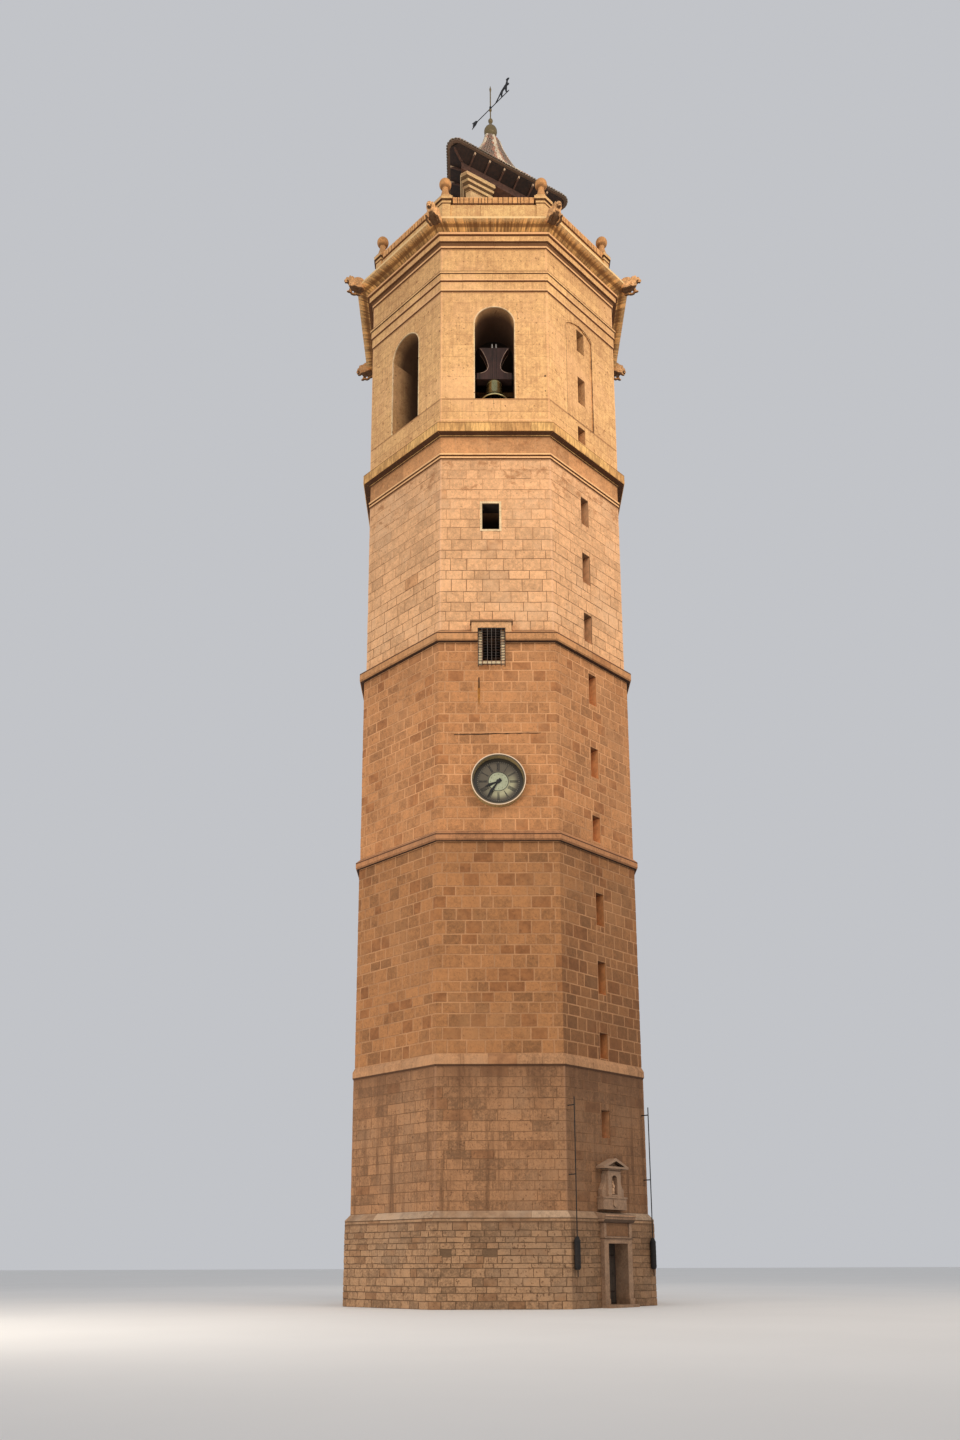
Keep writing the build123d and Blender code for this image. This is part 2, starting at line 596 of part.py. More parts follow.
def cavetto_profile():
    start = BELL_STAGE_HALF + CORONA_OUT
    rise = TERRACE - FILLET_HEIGHT - CAVETTO_BASE
    out = CAVETTO_HALF - 20 - start
    steps = 6
    curve = [(start + out * (1 - cos(pi / 2 * i / steps)), CAVETTO_BASE + rise * sin(pi / 2 * i / steps))
             for i in range(steps + 1)]
    return [(ROOM_HALF, CAVETTO_BASE)] + curve + [(CAVETTO_HALF, TERRACE - FILLET_HEIGHT),
                                                 (CAVETTO_HALF, TERRACE), (ROOM_HALF, TERRACE)]


def section(x, width, low, high, round_share=0.35):
    """An upright rounded section of a gargoyle's body."""
    middle = (low + high) / 2
    face = Plane(origin=(x, 0, middle), x_dir=(0, 1, 0), z_dir=(1, 0, 0))
    radius = min(width, high - low) * round_share
    return face * RectangleRounded(width, high - low, radius)


def terrace_gargoyles():
    """A crouching beast at each corner of the cornice, its body on the corona."""
    lip = (BELL_STAGE_HALF + CORONA_OUT + CORONA_LIP) / cos(HALF_FACE)
    tip = GARGOYLE_REACH
    span = tip - lip
    neck = (lip + span * 0.66, GARGOYLE_WIDTH * 0.62, CAVETTO_BASE + 70, GARGOYLE_HEAD + 10)
    body = loft([section(lip - 90, GARGOYLE_WIDTH, CAVETTO_BASE, GARGOYLE_BACK),
                 section(lip + span * 0.4, GARGOYLE_WIDTH, CAVETTO_BASE + 10, GARGOYLE_BACK - 10),
                 section(*neck)], ruled=True)
    head = loft([section(*neck),
                 section(lip + span * 0.82, GARGOYLE_WIDTH * 0.7, CAVETTO_BASE + 85, GARGOYLE_HEAD + 15),
                 section(tip, GARGOYLE_WIDTH * 0.42, CAVETTO_BASE + 115, GARGOYLE_HEAD - 60)], ruled=True)
    beast = body + head
    neighbours = [Rot(0, 0, -22.5) * stone(cavetto_profile(), 0), Rot(0, 0, 22.5) * stone(cavetto_profile(), 0)]
    below = octagon(lip * cos(HALF_FACE), FRIEZE_TOP, CAVETTO_BASE)
    beast -= neighbours[0]
    beast -= neighbours[1]
    beast -= Rot(0, 0, 22.5) * below
    piece = beast.solids().sort_by(SortBy.VOLUME)[-1]
    save("gargoyles", [on_corner(c, piece) for c in FACES])


def parapet():
    pedestal_half = PARAPET_HALF + PEDESTAL_OUT
    pedestal_depth = PARAPET_THICKNESS + 2 * PEDESTAL_OUT
    panel_half = side_half(pedestal_half) - PEDESTAL_ARM
    panel = block(PARAPET_HALF - PARAPET_THICKNESS, PARAPET_HALF, -panel_half, panel_half, TERRACE, PARAPET_TOP)
    save("parapet_walls", [on_face(face, panel) for face in FACES])
    pedestal = slab(corner_stone(pedestal_half, pedestal_depth, PEDESTAL_ARM), TERRACE, PARAPET_TOP)
    save("parapet_pedestals", [on_corner(c, pedestal) for c in FACES])
    top = PARAPET_TOP + CAP_HEIGHT
    steps = [(0.35, 0, 0.26), (0.1, 0.26, 0.4), (1, 0.4, 0.74), (0.2, 0.74, 1)]
    cap = None
    for share, low, high in steps:
        out = CAP_OUT * share
        outline = corner_stone(pedestal_half + out, pedestal_depth + 2 * out,
                               PEDESTAL_ARM + out + side_half(out))
        step = slab(outline, PARAPET_TOP + CAP_HEIGHT * low, PARAPET_TOP + CAP_HEIGHT * high)
        cap = step if cap is None else cap + step
    save("pedestal_caps", [on_corner(c, cap) for c in FACES])
    coping_half = side_half(pedestal_half) - PEDESTAL_ARM - CAP_OUT
    coping = block(PARAPET_HALF - PARAPET_THICKNESS - COPING_OUT, PARAPET_HALF + COPING_OUT, -coping_half,
                   coping_half, PARAPET_TOP, PARAPET_TOP + COPING_HEIGHT)
    save("parapet_coping", [on_face(face, coping) for face in FACES])
    neck_low = BALL_CENTRE - sqrt(BALL_R ** 2 - 70 ** 2)
    profile = Polyline((0, 0, top), (125, 0, top), (125, 0, top + 40), (70, 0, neck_low - 60),
                       (70, 0, neck_low))
    bulb = ThreePointArc((70, 0, neck_low), (BALL_R, 0, BALL_CENTRE), (0, 0, BALL_CENTRE + BALL_R))
    ball = revolve(make_face([profile, bulb, Line((0, 0, BALL_CENTRE + BALL_R), (0, 0, top))]), Axis.Z)
    save("corner_balls", [on_corner(c, Pos(BALL_HALF / cos(HALF_FACE), 0, 0) * ball) for c in FACES])


def door_surround_stones(wall_face, front):
    """The stones round the doorway: feet, jambs, lintel, bead, frieze and the lining of the passage."""
    outer = DOOR_HALF + JAMB_WIDTH
    foot_top = GROUND_FLOOR + JAMB_FOOT_HEIGHT
    bead = DOOR_HEAD + DOOR_LINTEL_HEIGHT
    frieze = bead + DOOR_BEAD_HEIGHT
    back = wall_face - LINING_DEPTH
    stones = [block(wall_face, front, -outer, outer, DOOR_HEAD + SEAT, bead),
              block(wall_face, front + DOOR_BEAD_OUT, -outer, outer, bead + SEAT, frieze),
              block(wall_face, front - DOOR_PANEL_RECESS, -DOOR_PANEL_HALF, DOOR_PANEL_HALF, frieze + SEAT,
                    DOOR_FRIEZE_TOP),
              block(back, wall_face - SEAT, -PASSAGE_HALF, PASSAGE_HALF, DOOR_HEAD + SEAT, PASSAGE_HEAD)]
    for side in (-1, 1):
        for x0, x1, y0, y1, z0, z1 in (
                (wall_face, front + JAMB_FOOT_OUT, DOOR_HALF, outer + JAMB_FOOT_OUT, GROUND_FLOOR, foot_top),
                (wall_face, front, DOOR_HALF, outer, foot_top + SEAT, DOOR_HEAD),
                (wall_face, front, DOOR_PANEL_HALF + SEAT, outer, frieze + SEAT, DOOR_FRIEZE_TOP),
                (back, wall_face - SEAT, DOOR_HALF, PASSAGE_HALF, GROUND_FLOOR, DOOR_HEAD)):
            stones.append(block(x0, x1, *sorted((side * y0, side * y1)), z0, z1))
    return stones


def doorway():
    wall_face = PLINTH_HALF
    front = wall_face + SURROUND_DEPTH
    step = block(ROOM_HALF, wall_face, -PASSAGE_HALF, PASSAGE_HALF, 0, GROUND_FLOOR)
    step += block(wall_face, wall_face + STEP_OUT, -STEP_HALF, STEP_HALF, 0, GROUND_FLOOR)
    save("door_step", on_face(DOOR_FACE, step))
    save("door_surround", [on_face(DOOR_FACE, piece) for piece in door_surround_stones(wall_face, front)])
    top = DOOR_FRIEZE_TOP + DOOR_CORNICE_HEIGHT
    lip = wall_face + DOOR_CORNICE_OUT
    bed = front + DOOR_BEAD_OUT
    cornice = make_face(Polyline((wall_face, 0, DOOR_FRIEZE_TOP), (bed, 0, DOOR_FRIEZE_TOP),
                                 (bed + DOOR_BEAD_OUT, 0, DOOR_FRIEZE_TOP + DOOR_BEAD_HEIGHT),
                                 (lip - DOOR_BEAD_OUT, 0, DOOR_FRIEZE_TOP + DOOR_BEAD_HEIGHT * 2),
                                 (lip - DOOR_BEAD_OUT, 0, top - DOOR_BEAD_HEIGHT),
                                 (lip, 0, top - DOOR_BEAD_HEIGHT), (lip, 0, top),
                                 (STAGE_1_HALF, 0, top + 60), (STAGE_1_HALF, 0, top - 100), close=True))
    bar = extrude(cornice, amount=DOOR_CORNICE_HALF, dir=(0, 1, 0), both=True)
    weathering = stone([(ROOM_HALF, PLINTH_TOP), (PLINTH_HALF, PLINTH_TOP), (STAGE_1_HALF, STAGE_1_BASE),
                        (ROOM_HALF, STAGE_1_BASE)], 0)
    bar -= weathering
    bar -= wall(PLINTH_HALF, 0, PLINTH_TOP)
    save("door_cornice", on_face(DOOR_FACE, bar.solids().sort_by(SortBy.VOLUME)[-1]))
    leaf_front = wall_face - LINING_DEPTH - RUNNING_GAP
    heel = -(PASSAGE_HALF - DOOR_SIDE_GAP - DOOR_THICKNESS / 2)
    axis_x = leaf_front - DOOR_THICKNESS / 2
    low, high = GROUND_FLOOR + DOOR_END_GAP, PASSAGE_HEAD - DOOR_END_GAP
    leaf = block(leaf_front - DOOR_THICKNESS, leaf_front, heel, PASSAGE_HALF - DOOR_SIDE_GAP, low, high)
    leaf += Pos(axis_x, heel, (low + high) / 2) * Cylinder(DOOR_THICKNESS / 2, high - low)
    pins = []
    for z0, z1, hole in ((GROUND_FLOOR, low + DOOR_PIVOT_DEPTH, low),
                         (high - DOOR_PIVOT_DEPTH, PASSAGE_HEAD, high)):
        middle = (z0 + z1) / 2
        pins.append(on_face(DOOR_FACE, Pos(axis_x, heel, middle) * Cylinder(DOOR_PIVOT_R, z1 - z0)))
        socket = Cylinder(DOOR_PIVOT_R + PIN_GAP, 2 * (DOOR_PIVOT_DEPTH + 1))
        leaf -= Pos(axis_x, heel, hole) * socket
    save("door_pivots", pins)
    save("door_leaf", on_face(DOOR_FACE, leaf))


def niche():
    """A small niche with scrolls beside it and a gable over it, on the wall above the doorway."""
    base = STAGE_1_BASE + NICHE_LIFT
    x = STAGE_1_HALF
    front = x + NICHE_OUT
    body_low = base + NICHE_BASE_HEIGHT
    body_high = body_low + NICHE_BODY_HEIGHT
    ledge_half = NICHE_HALF + NICHE_LEDGE / 2
    pieces = block(x, front, -NICHE_HALF, NICHE_HALF, base, body_low - NICHE_LEDGE)
    pieces += block(x, front + NICHE_LEDGE / 2, -ledge_half, ledge_half, body_low - NICHE_LEDGE, body_low)
    body = block(x, front, -NICHE_BODY_HALF, NICHE_BODY_HALF, body_low, body_high)
    hollow = arch_solid(NICHE_HOLLOW_HALF, body_low + 40, body_low + NICHE_HOLLOW_HEIGHT - NICHE_HOLLOW_HALF,
                        front - NICHE_HOLLOW_DEPTH, front + 10)
    pieces += body - hollow
    for side in (-1, 1):
        pieces += niche_scroll(x, side, body_low)
    pieces += niche_shield(front, base + (NICHE_BASE_HEIGHT - NICHE_LEDGE) * 0.55)
    gable = niche_gable(x, 0, PEDIMENT_HALF, body_high, PEDIMENT_HEIGHT, PEDIMENT_BAND)
    inner_half = PEDIMENT_HALF - 2.6 * PEDIMENT_BAND
    inner_height = PEDIMENT_HEIGHT - 2.3 * PEDIMENT_BAND
    gable -= niche_gable(x, PEDIMENT_OUT - PEDIMENT_RECESS, inner_half, body_high + PEDIMENT_BAND,
                         inner_height, 0)
    save("door_niche", on_face(DOOR_FACE, pieces + gable))


def niche_gable(x, back, half, low, height, band):
    """The gable's front, from a distance before the wall out to its full reach."""
    outline = [(-half, low), (half, low), (half, low + band), (0, low + height), (-half, low + band)]
    if not band:
        outline = [(-half, low), (half, low), (0, low + height)]
    face = make_face(Polyline(*[(x + back, y, z) for y, z in outline], close=True))
    return extrude(face, amount=PEDIMENT_OUT - back, dir=(1, 0, 0))


def niche_scroll(x, side, low):
    near = side * NICHE_BODY_HALF
    top = low + SCROLL_HEIGHT
    neck = side * (NICHE_BODY_HALF + SCROLL_FOOT * 0.2)
    foot = side * (NICHE_BODY_HALF + SCROLL_FOOT)
    edge = Polyline((x, neck, top), (x, near, top), (x, near, low), (x, foot, low),
                    (x, foot, low + SCROLL_FOOT))
    curve = ThreePointArc((x, foot, low + SCROLL_FOOT),
                          (x, side * (NICHE_BODY_HALF + SCROLL_FOOT * 0.45), low + SCROLL_HEIGHT * 0.55),
                          (x, neck, top))
    return extrude(make_face([edge, curve]), amount=SCROLL_OUT, dir=(1, 0, 0))


def niche_shield(front, middle):
    """A plain small shield, round below, that stands out of the niche's base."""
    high = middle + SHIELD_HALF
    edge = Polyline((front, -SHIELD_HALF, middle), (front, -SHIELD_HALF, high), (front, SHIELD_HALF, high),
                    (front, SHIELD_HALF, middle))
    curve = ThreePointArc((front, SHIELD_HALF, middle), (front, 0, middle - SHIELD_HALF * 1.1),
                          (front, -SHIELD_HALF, middle))
    return extrude(make_face([edge, curve]), amount=SHIELD_OUT, dir=(1, 0, 0))


def wall_rods():
    x = STAGE_1_HALF + ROD_STAND_OFF
    rod = Pos(x, 0, (ROD_LOW + ROD_TOP) / 2) * Cylinder(ROD_R, ROD_TOP - ROD_LOW)
    outline = [(0, TUBE_LOW), (TUBE_R * 0.7, TUBE_LOW), (TUBE_R, TUBE_LOW + TUBE_TAPER / 2),
               (TUBE_R, TUBE_HIGH - TUBE_TAPER), (TUBE_R * 0.5, TUBE_HIGH), (0, TUBE_HIGH)]
    sleeve = revolve(make_face(Polyline(*[(r, 0, z) for r, z in outline], close=True)), Axis.Z)
    rod += Pos(x, 0, 0) * sleeve
    for z in ROD_ARMS:
        rod += block(STAGE_1_HALF, x, -ROD_R * 0.8, ROD_R * 0.8, z - ROD_R, z + ROD_R)
    for z in (TUBE_LOW + TUBE_CLAMP, TUBE_HIGH - TUBE_CLAMP):
        rod += block(PLINTH_HALF, x, -ROD_R, ROD_R, z - ROD_R, z + ROD_R)
    save("wall_rods", [on_face(DOOR_FACE, Pos(0, side, 0) * rod) for side in ROD_SIDES])


def on_clock(shape):
    """Places a shape made about the clock's centre, looking along +X, on the front wall."""
    return on_face(FRONT_FACE, Pos(STAGE_3_HALF, CLOCK_SIDE, CLOCK_HEIGHT) * shape)


def tube(outer, inner, x0, x1):
    pipe = Cylinder(outer, x1 - x0) - Cylinder(inner, x1 - x0 + 2)
    return Pos((x0 + x1) / 2, 0, 0) * Rot(0, 90, 0) * pipe


def hand(length, x0, hub_r, hole_r, pipe_back, angle):
    x1 = x0 + HAND_THICKNESS
    outline = [(-HAND_WIDTH * 0.5, -HAND_TAIL), (HAND_WIDTH * 0.5, -HAND_TAIL),
               (HAND_WIDTH * 0.35, length * 0.2), (HAND_WIDTH * 0.75, length * 0.62), (0, length),
               (-HAND_WIDTH * 0.75, length * 0.62), (-HAND_WIDTH * 0.35, length * 0.2)]
    blade = extrude(make_face(Polyline(*[(x0, y, z) for y, z in outline], close=True)),
                    amount=HAND_THICKNESS, dir=(1, 0, 0))
    blade += Pos((x0 + x1) / 2, 0, 0) * Rot(0, 90, 0) * Cylinder(HAND_WIDTH, HAND_THICKNESS)
    hub = Pos((pipe_back + x1) / 2, 0, 0) * Rot(0, 90, 0) * Cylinder(hub_r, x1 - pipe_back)
    piece = blade + hub
    if hole_r:
        hole = Pos((pipe_back + x1) / 2, 0, 0) * Rot(0, 90, 0) * Cylinder(hole_r, x1 - pipe_back + 2)
        piece -= hole
    return Rot(-angle, 0, 0) * piece


def clock():
    save("clock_ring", on_clock(tube(CLOCK_R, CLOCK_R - CLOCK_RING, 0, CLOCK_OUT)))
    dial = tube(CLOCK_R - CLOCK_RING - SEAT, PIPE_R + PIN_GAP, 0, DIAL_THICKNESS)
    save("clock_dial", on_clock(dial))
    hour_x = DIAL_THICKNESS + RUNNING_GAP
    minute_x = hour_x + HAND_THICKNESS + RUNNING_GAP
    save("hour_hand", on_clock(hand(HOUR_HAND, hour_x, PIPE_R, ARBOR_R + PIN_GAP, 1, HOUR_ANGLE)))
    save("minute_hand", on_clock(hand(MINUTE_HAND, minute_x, ARBOR_R, 0, 1, MINUTE_ANGLE)))


def bell_profile(radius_cut):
    """Points of the bell's outside, from the mouth up, drawn in by a wall thickness."""
    mouth = -BELL_MOUTH_DROP
    shoulder = -BELL_CROWN_DROP - BELL_CROWN_HEIGHT
    points = []
    steps = 10
    for i in range(steps + 1):
        t = i / steps
        radius = BELL_WAIST_R + (BELL_R - BELL_WAIST_R) * (1 - t) ** BELL_FLARE
        if t > 0.45:
            radius -= (BELL_WAIST_R - BELL_SHOULDER_R) * ((t - 0.45) / 0.55) ** 1.8
        points.append((radius - radius_cut, mouth + (shoulder - mouth) * t))
    return points


def bell():
    y = -(BELL_STAGE_HALF + ROOM_HALF) / 2
    place = Pos(0, y, PIVOT_HEIGHT)
    outer = bell_profile(0)
    inner = bell_profile(BELL_WALL)
    inner[0] = (outer[0][0] - 8, inner[0][1])
    crown = -BELL_CROWN_DROP
    low = crown - BELL_CROWN_HEIGHT
    reach = BELL_SHOULDER_R - BELL_CROWN_R
    rounded = [(BELL_CROWN_R + reach * cos(pi / 2 * i / 4), low + BELL_CROWN_HEIGHT * sin(pi / 2 * i / 4))
               for i in range(1, 5)]
    shell = outer + rounded + [(0, crown), (0, low - BELL_WALL)] + inner[::-1]
    solid = revolve(make_face(Polyline(*[(r, 0, z) for r, z in shell], close=True)), Axis.Z)
    pin_z = -CLAPPER_PIN_DROP
    lug_x = CLAPPER_EYE_WIDTH / 2 + PIN_GAP + RUNNING_GAP
    for side in (-1, 1):
        x0, x1 = sorted((side * lug_x, side * (lug_x + LUG_THICKNESS)))
        solid += block(x0, x1, -CLAPPER_PIN_R * 1.8, CLAPPER_PIN_R * 1.8, pin_z - CLAPPER_PIN_R * 2,
                       low - BELL_WALL + 5)
    solid += Pos(0, 0, pin_z) * Rot(0, 90, 0) * Cylinder(CLAPPER_PIN_R, 2 * (lug_x + LUG_THICKNESS))
    for side in (-1, 1):
        solid += Pos(side * YOKE_BOLT_SIDE, 0, (crown - YOKE_ARM_DOWN) / 2) * Box(
            26, 60, -crown - YOKE_ARM_DOWN)
    save("bell", place * solid)
    head_low = YOKE_TOP_RISE - YOKE_HEAD
    corner = YOKE_TOP_HALF - YOKE_HEAD
    edges = [Polyline((-corner, 0, head_low), (-YOKE_TOP_HALF, 0, head_low), (-YOKE_TOP_HALF, 0, YOKE_TOP_RISE),
                      (YOKE_TOP_HALF, 0, YOKE_TOP_RISE), (YOKE_TOP_HALF, 0, head_low), (corner, 0, head_low)),
             Polyline((corner, 0, YOKE_ARM_UP), (YOKE_ARM_HALF, 0, YOKE_ARM_UP),
                      (YOKE_ARM_HALF, 0, -YOKE_ARM_DOWN), (-YOKE_ARM_HALF, 0, -YOKE_ARM_DOWN),
                      (-YOKE_ARM_HALF, 0, YOKE_ARM_UP), (-corner, 0, YOKE_ARM_UP))]
    scoop = corner - YOKE_NECK_HALF
    for side in (-1, 1):
        neck = (side * YOKE_NECK_HALF, 0, YOKE_NECK_RISE)
        upper = (side * (YOKE_NECK_HALF + scoop * 0.3), 0, YOKE_NECK_RISE + (head_low - YOKE_NECK_RISE) * 0.43)
        lower = (side * (YOKE_NECK_HALF + scoop * 0.27), 0,
                 YOKE_NECK_RISE - (YOKE_NECK_RISE - YOKE_ARM_UP) * 0.75)
        edges.append(ThreePointArc((side * corner, 0, head_low), upper, neck))
        edges.append(ThreePointArc(neck, lower, (side * corner, 0, YOKE_ARM_UP)))
    yoke = extrude(make_face(edges), amount=YOKE_THICKNESS / 2, dir=(0, 1, 0), both=True)
    bearing_in = ARCH_HALF - BEARING_THICKNESS
    for side in (-1, 1):
        pin_length = ARCH_HALF - SEAT - YOKE_ARM_HALF
        pin = Rot(0, 90, 0) * Cylinder(GUDGEON_R, pin_length)
        yoke += Pos(side * (YOKE_ARM_HALF + pin_length / 2), 0, 0) * pin
        yoke += Pos(side * YOKE_BOLT_SIDE, 0, YOKE_TOP_RISE + YOKE_BOLT_RISE / 2) * Cylinder(
            YOKE_BOLT_R, YOKE_BOLT_RISE)
    save("bell_yoke", place * yoke)
    bearings = []
    for side in (-1, 1):
        x0, x1 = sorted((side * bearing_in, side * ARCH_HALF))
        bearing = block(x0, x1, -BEARING_HALF, BEARING_HALF, -BEARING_HALF, BEARING_HALF)
        bearing -= Rot(0, 90, 0) * Cylinder(GUDGEON_R + PIN_GAP, 4 * ARCH_HALF)
        bearings.append(place * bearing)
    save("bell_bearings", bearings)
    eye = Rot(0, 90, 0) * (Cylinder(CLAPPER_EYE_R, CLAPPER_EYE_WIDTH)
                           - Cylinder(CLAPPER_PIN_R + PIN_GAP, CLAPPER_EYE_WIDTH + 2))
    stem = Pos(0, 0, -(CLAPPER_EYE_R + CLAPPER_LENGTH) / 2 + 3) * Cylinder(
        10, CLAPPER_LENGTH - CLAPPER_EYE_R + 6)
    clapper = eye + stem + Pos(0, 0, -CLAPPER_LENGTH) * Sphere(CLAPPER_BALL_R)
    save("bell_clapper", place * Pos(0, 0, pin_z) * clapper)


def on_side(side, shape):
    """Turns a shape made looking along +X to a side of the three-sided pavilion."""
    return Rot(0, 0, -60 + 120 * side) * shape


def on_tip(tip, shape):
    """Turns a shape made looking along +X to a corner of the three-sided pavilion."""
    return Rot(0, 0, 120 * tip) * shape


def pier_outline(inner, arm, depth, chamfer):
    """Outline of a corner pier with its sharp corner cut off, the corner towards +X."""
    tip = 2 * inner
    along = (-cos(radians(30)), sin(radians(30)))
    inward = (-sin(radians(30)), -cos(radians(30)))
    near = (tip + along[0] * chamfer, along[1] * chamfer)
    far = (tip + along[0] * arm, along[1] * arm)
    back = (far[0] + inward[0] * depth, far[1] + inward[1] * depth)
    half = [near, far, back]
    return half + [(x, -y) for x, y in reversed(half)]


def pavilion():
    shaft = slab(pier_outline(SHAFT_IN, SHAFT_ARM, SHAFT_DEPTH, SHAFT_CHAMFER), TERRACE, CAPITAL_BASE)
    save("pavilion_piers", [on_tip(t, shaft) for t in range(3)])
    capital = loft([capital_outline(out, z) for out, z in capital_profile()], ruled=True)
    save("pavilion_capitals", [on_tip(t, capital) for t in range(3)])
    lintel_in = SHAFT_IN + CAPITAL_OUT * 0.8
    lintel_top = CAPITAL_TOP + LINTEL_HEIGHT
    lintel = trapezoid(lintel_in, LINTEL_DEPTH, CAPITAL_TOP, lintel_top)
    save("pavilion_lintels", [on_side(s, lintel) for s in range(3)])
    eaves(lintel_in, lintel_top)
    roof()


def capital_profile():
    """How far a capital's round bands stand out of the pier, from the lowest up."""
    band = CAPITAL_HEIGHT / CAPITAL_BANDS
    radius = band * CAPITAL_ROUND
    points = []
    for i in range(CAPITAL_BANDS):
        middle = CAPITAL_BASE + band * (i + 0.5)
        reach = CAPITAL_OUT * (i + 2) / (CAPITAL_BANDS + 1)
        top = i == CAPITAL_BANDS - 1
        for angle in (-90, -45, 0, 45) if top else (-90, -45, 0, 45, 90):
            points.append((reach - radius * (1 - cos(radians(angle))), middle + radius * sin(radians(angle))))
    return [(points[0][0], CAPITAL_BASE)] + points + [(points[-1][0], CAPITAL_TOP)]


def capital_outline(out, z):
    points = pier_outline(SHAFT_IN + out, SHAFT_ARM + out * 2.4, SHAFT_DEPTH + out * 1.5,
                          SHAFT_CHAMFER + out * 0.4)
    return make_face(Polyline(*[(x, y, z) for x, y in points], close=True))


def trapezoid(inner, depth, low, high):
    """One side of a three-sided ring, mitred at 60 degrees, with its open joints."""
    gap = CORNER_JOINT / 2 / sin(radians(60))
    points = []
    for x in (inner - depth, inner):
        half = x * sqrt(3) - gap * 2
        points.append((x, half))
    outline = [(points[0][0], -points[0][1]), (points[1][0], -points[1][1]), (points[1][0], points[1][1]),
               (points[0][0], points[0][1])]
    return slab(outline, low, high)


def eaves(lintel_in, lintel_top):
    """Struts that lean outward from the lintels, with a boarded soffit on them."""
    edge = EAVES_IN - BOARD_LAP
    run = edge - lintel_in
    tilt = atan2(EAVES_HEIGHT - BOARD_THICKNESS - lintel_top - STRUT_SIZE, run)
    deep = STRUT_SIZE / cos(tilt)
    inner = lintel_in - LINTEL_DEPTH * 0.6
    foot = lintel_top + (inner - lintel_in) * tan(tilt)
    high = EAVES_HEIGHT - BOARD_THICKNESS
    side = [(inner, lintel_top), (lintel_in, lintel_top), (edge - STRUT_SIZE / 2, high - deep), (edge, high),
            (inner, high - (edge - inner) * tan(tilt))]
    if side[4][1] <= lintel_top:
        side[4] = (edge - (high - lintel_top) / tan(tilt), lintel_top)
        del side[0]
    outline = make_face(Polyline(*[(x, 0, z) for x, z in side], close=True))
    strut = extrude(outline, amount=STRUT_SIZE / 2, dir=(0, 1, 0), both=True)
    half = lintel_in * sqrt(3) - STRUT_PITCH * 0.6
    count = int(2 * half // STRUT_PITCH)
    pieces = []
    for side_number in range(3):
        for i in range(count + 1):
            y = -half + 2 * half * i / count
            pieces.append(on_side(side_number, Pos(0, y, 0) * strut))
    hip_end = 2 * (EAVES_IN - BOARD_INSET) - EAVES_ROUND - STRUT_SIZE / 2
    hip_start = 2 * lintel_in - STRUT_SIZE * 1.5
    under = [high - (edge - reach / 2) * tan(tilt) - SEAT for reach in (hip_start, hip_end)]
    outline = make_face(Polyline((hip_start, 0, lintel_top), (2 * lintel_in, 0, lintel_top),
                                 (hip_end, 0, under[1] - deep), (hip_end, 0, under[1]),
                                 (hip_start, 0, under[0]), close=True))
    hip = extrude(outline, amount=STRUT_SIZE / 2, dir=(0, 1, 0), both=True)
    pieces += [on_tip(t, hip) for t in range(3)]
    save("eaves_struts", pieces)
    start = lintel_in - STRUT_SIZE
    low = high - (edge - start) * tan(tilt)
    section_points = [(start, low), (edge, high), (edge, EAVES_HEIGHT), (start, low + BOARD_THICKNESS)]
    bar = extrude(make_face(Polyline(*[(x, 0, z) for x, z in section_points], close=True)),
                  amount=EAVES_IN * 2, dir=(0, 1, 0), both=True)
    gap = CORNER_JOINT / sin(radians(60))
    wedge = slab([(gap, 0), (EAVES_IN, -(EAVES_IN - gap) * sqrt(3)), (EAVES_IN, (EAVES_IN - gap) * sqrt(3))],
                 lintel_top - 10, EAVES_HEIGHT + 10)
    edge_line = rounded_triangle(EAVES_IN - BOARD_INSET, EAVES_ROUND, lintel_top - 10, EAVES_HEIGHT + 10, -60)
    board = (bar & wedge) & edge_line
    save("eaves_boards", [on_side(s, board) for s in range(3)])


def rounded_triangle(inner, radius, low, high, turn):
    """An upright three-sided prism with rounded corners, a corner at +X before it is turned back."""
    points = [(2 * inner * cos(radians(a)), 2 * inner * sin(radians(a))) for a in (0, 120, 240)]
    prism = slab(points, low, high)
    prism = fillet(prism.edges().filter_by(Axis.Z), radius)
    return Rot(0, 0, -turn) * prism


def roof_ring(z, half, hip, nose, inset):
    """Outline of the roof at one height, with rounded hips, drawn in by an inset."""
    middle = (half * cos(radians(60)), half * sin(radians(60)))
    centre = hip - nose
    lean = atan2(middle[1], middle[0] - centre)
    spread = lean - acos(nose / hypot(middle[0] - centre, middle[1]))
    inner_nose = max(nose - inset, 4.0)
    centre -= (inset + inner_nose - nose) / cos(spread)
    points = []
    for i in range(3):
        turn = radians(120 * i)
        for j in range(-2, 3):
            angle = spread * j / 2
            points.append((centre + inner_nose * cos(angle), inner_nose * sin(angle), turn))
        points.append(((half - inset) * cos(radians(60)), (half - inset) * sin(radians(60)), turn))
    return [(x * cos(t) - y * sin(t), x * sin(t) + y * cos(t), z) for x, y, t in points]


def closed_shell(rings):
    """A solid bounded by three-cornered faces between rings, and by its first and last ring."""
    faces = []
    for low, high in zip(rings, rings[1:]):
        for i in range(len(low)):
            j = (i + 1) % len(low)
            faces.append(Face(Wire.make_polygon([low[i], low[j], high[j]])))
            faces.append(Face(Wire.make_polygon([low[i], high[j], high[i]])))
    faces.append(Face(Wire.make_polygon(rings[0])))
    faces.append(Face(Wire.make_polygon(rings[-1])))
    return Solid(Shell(faces))


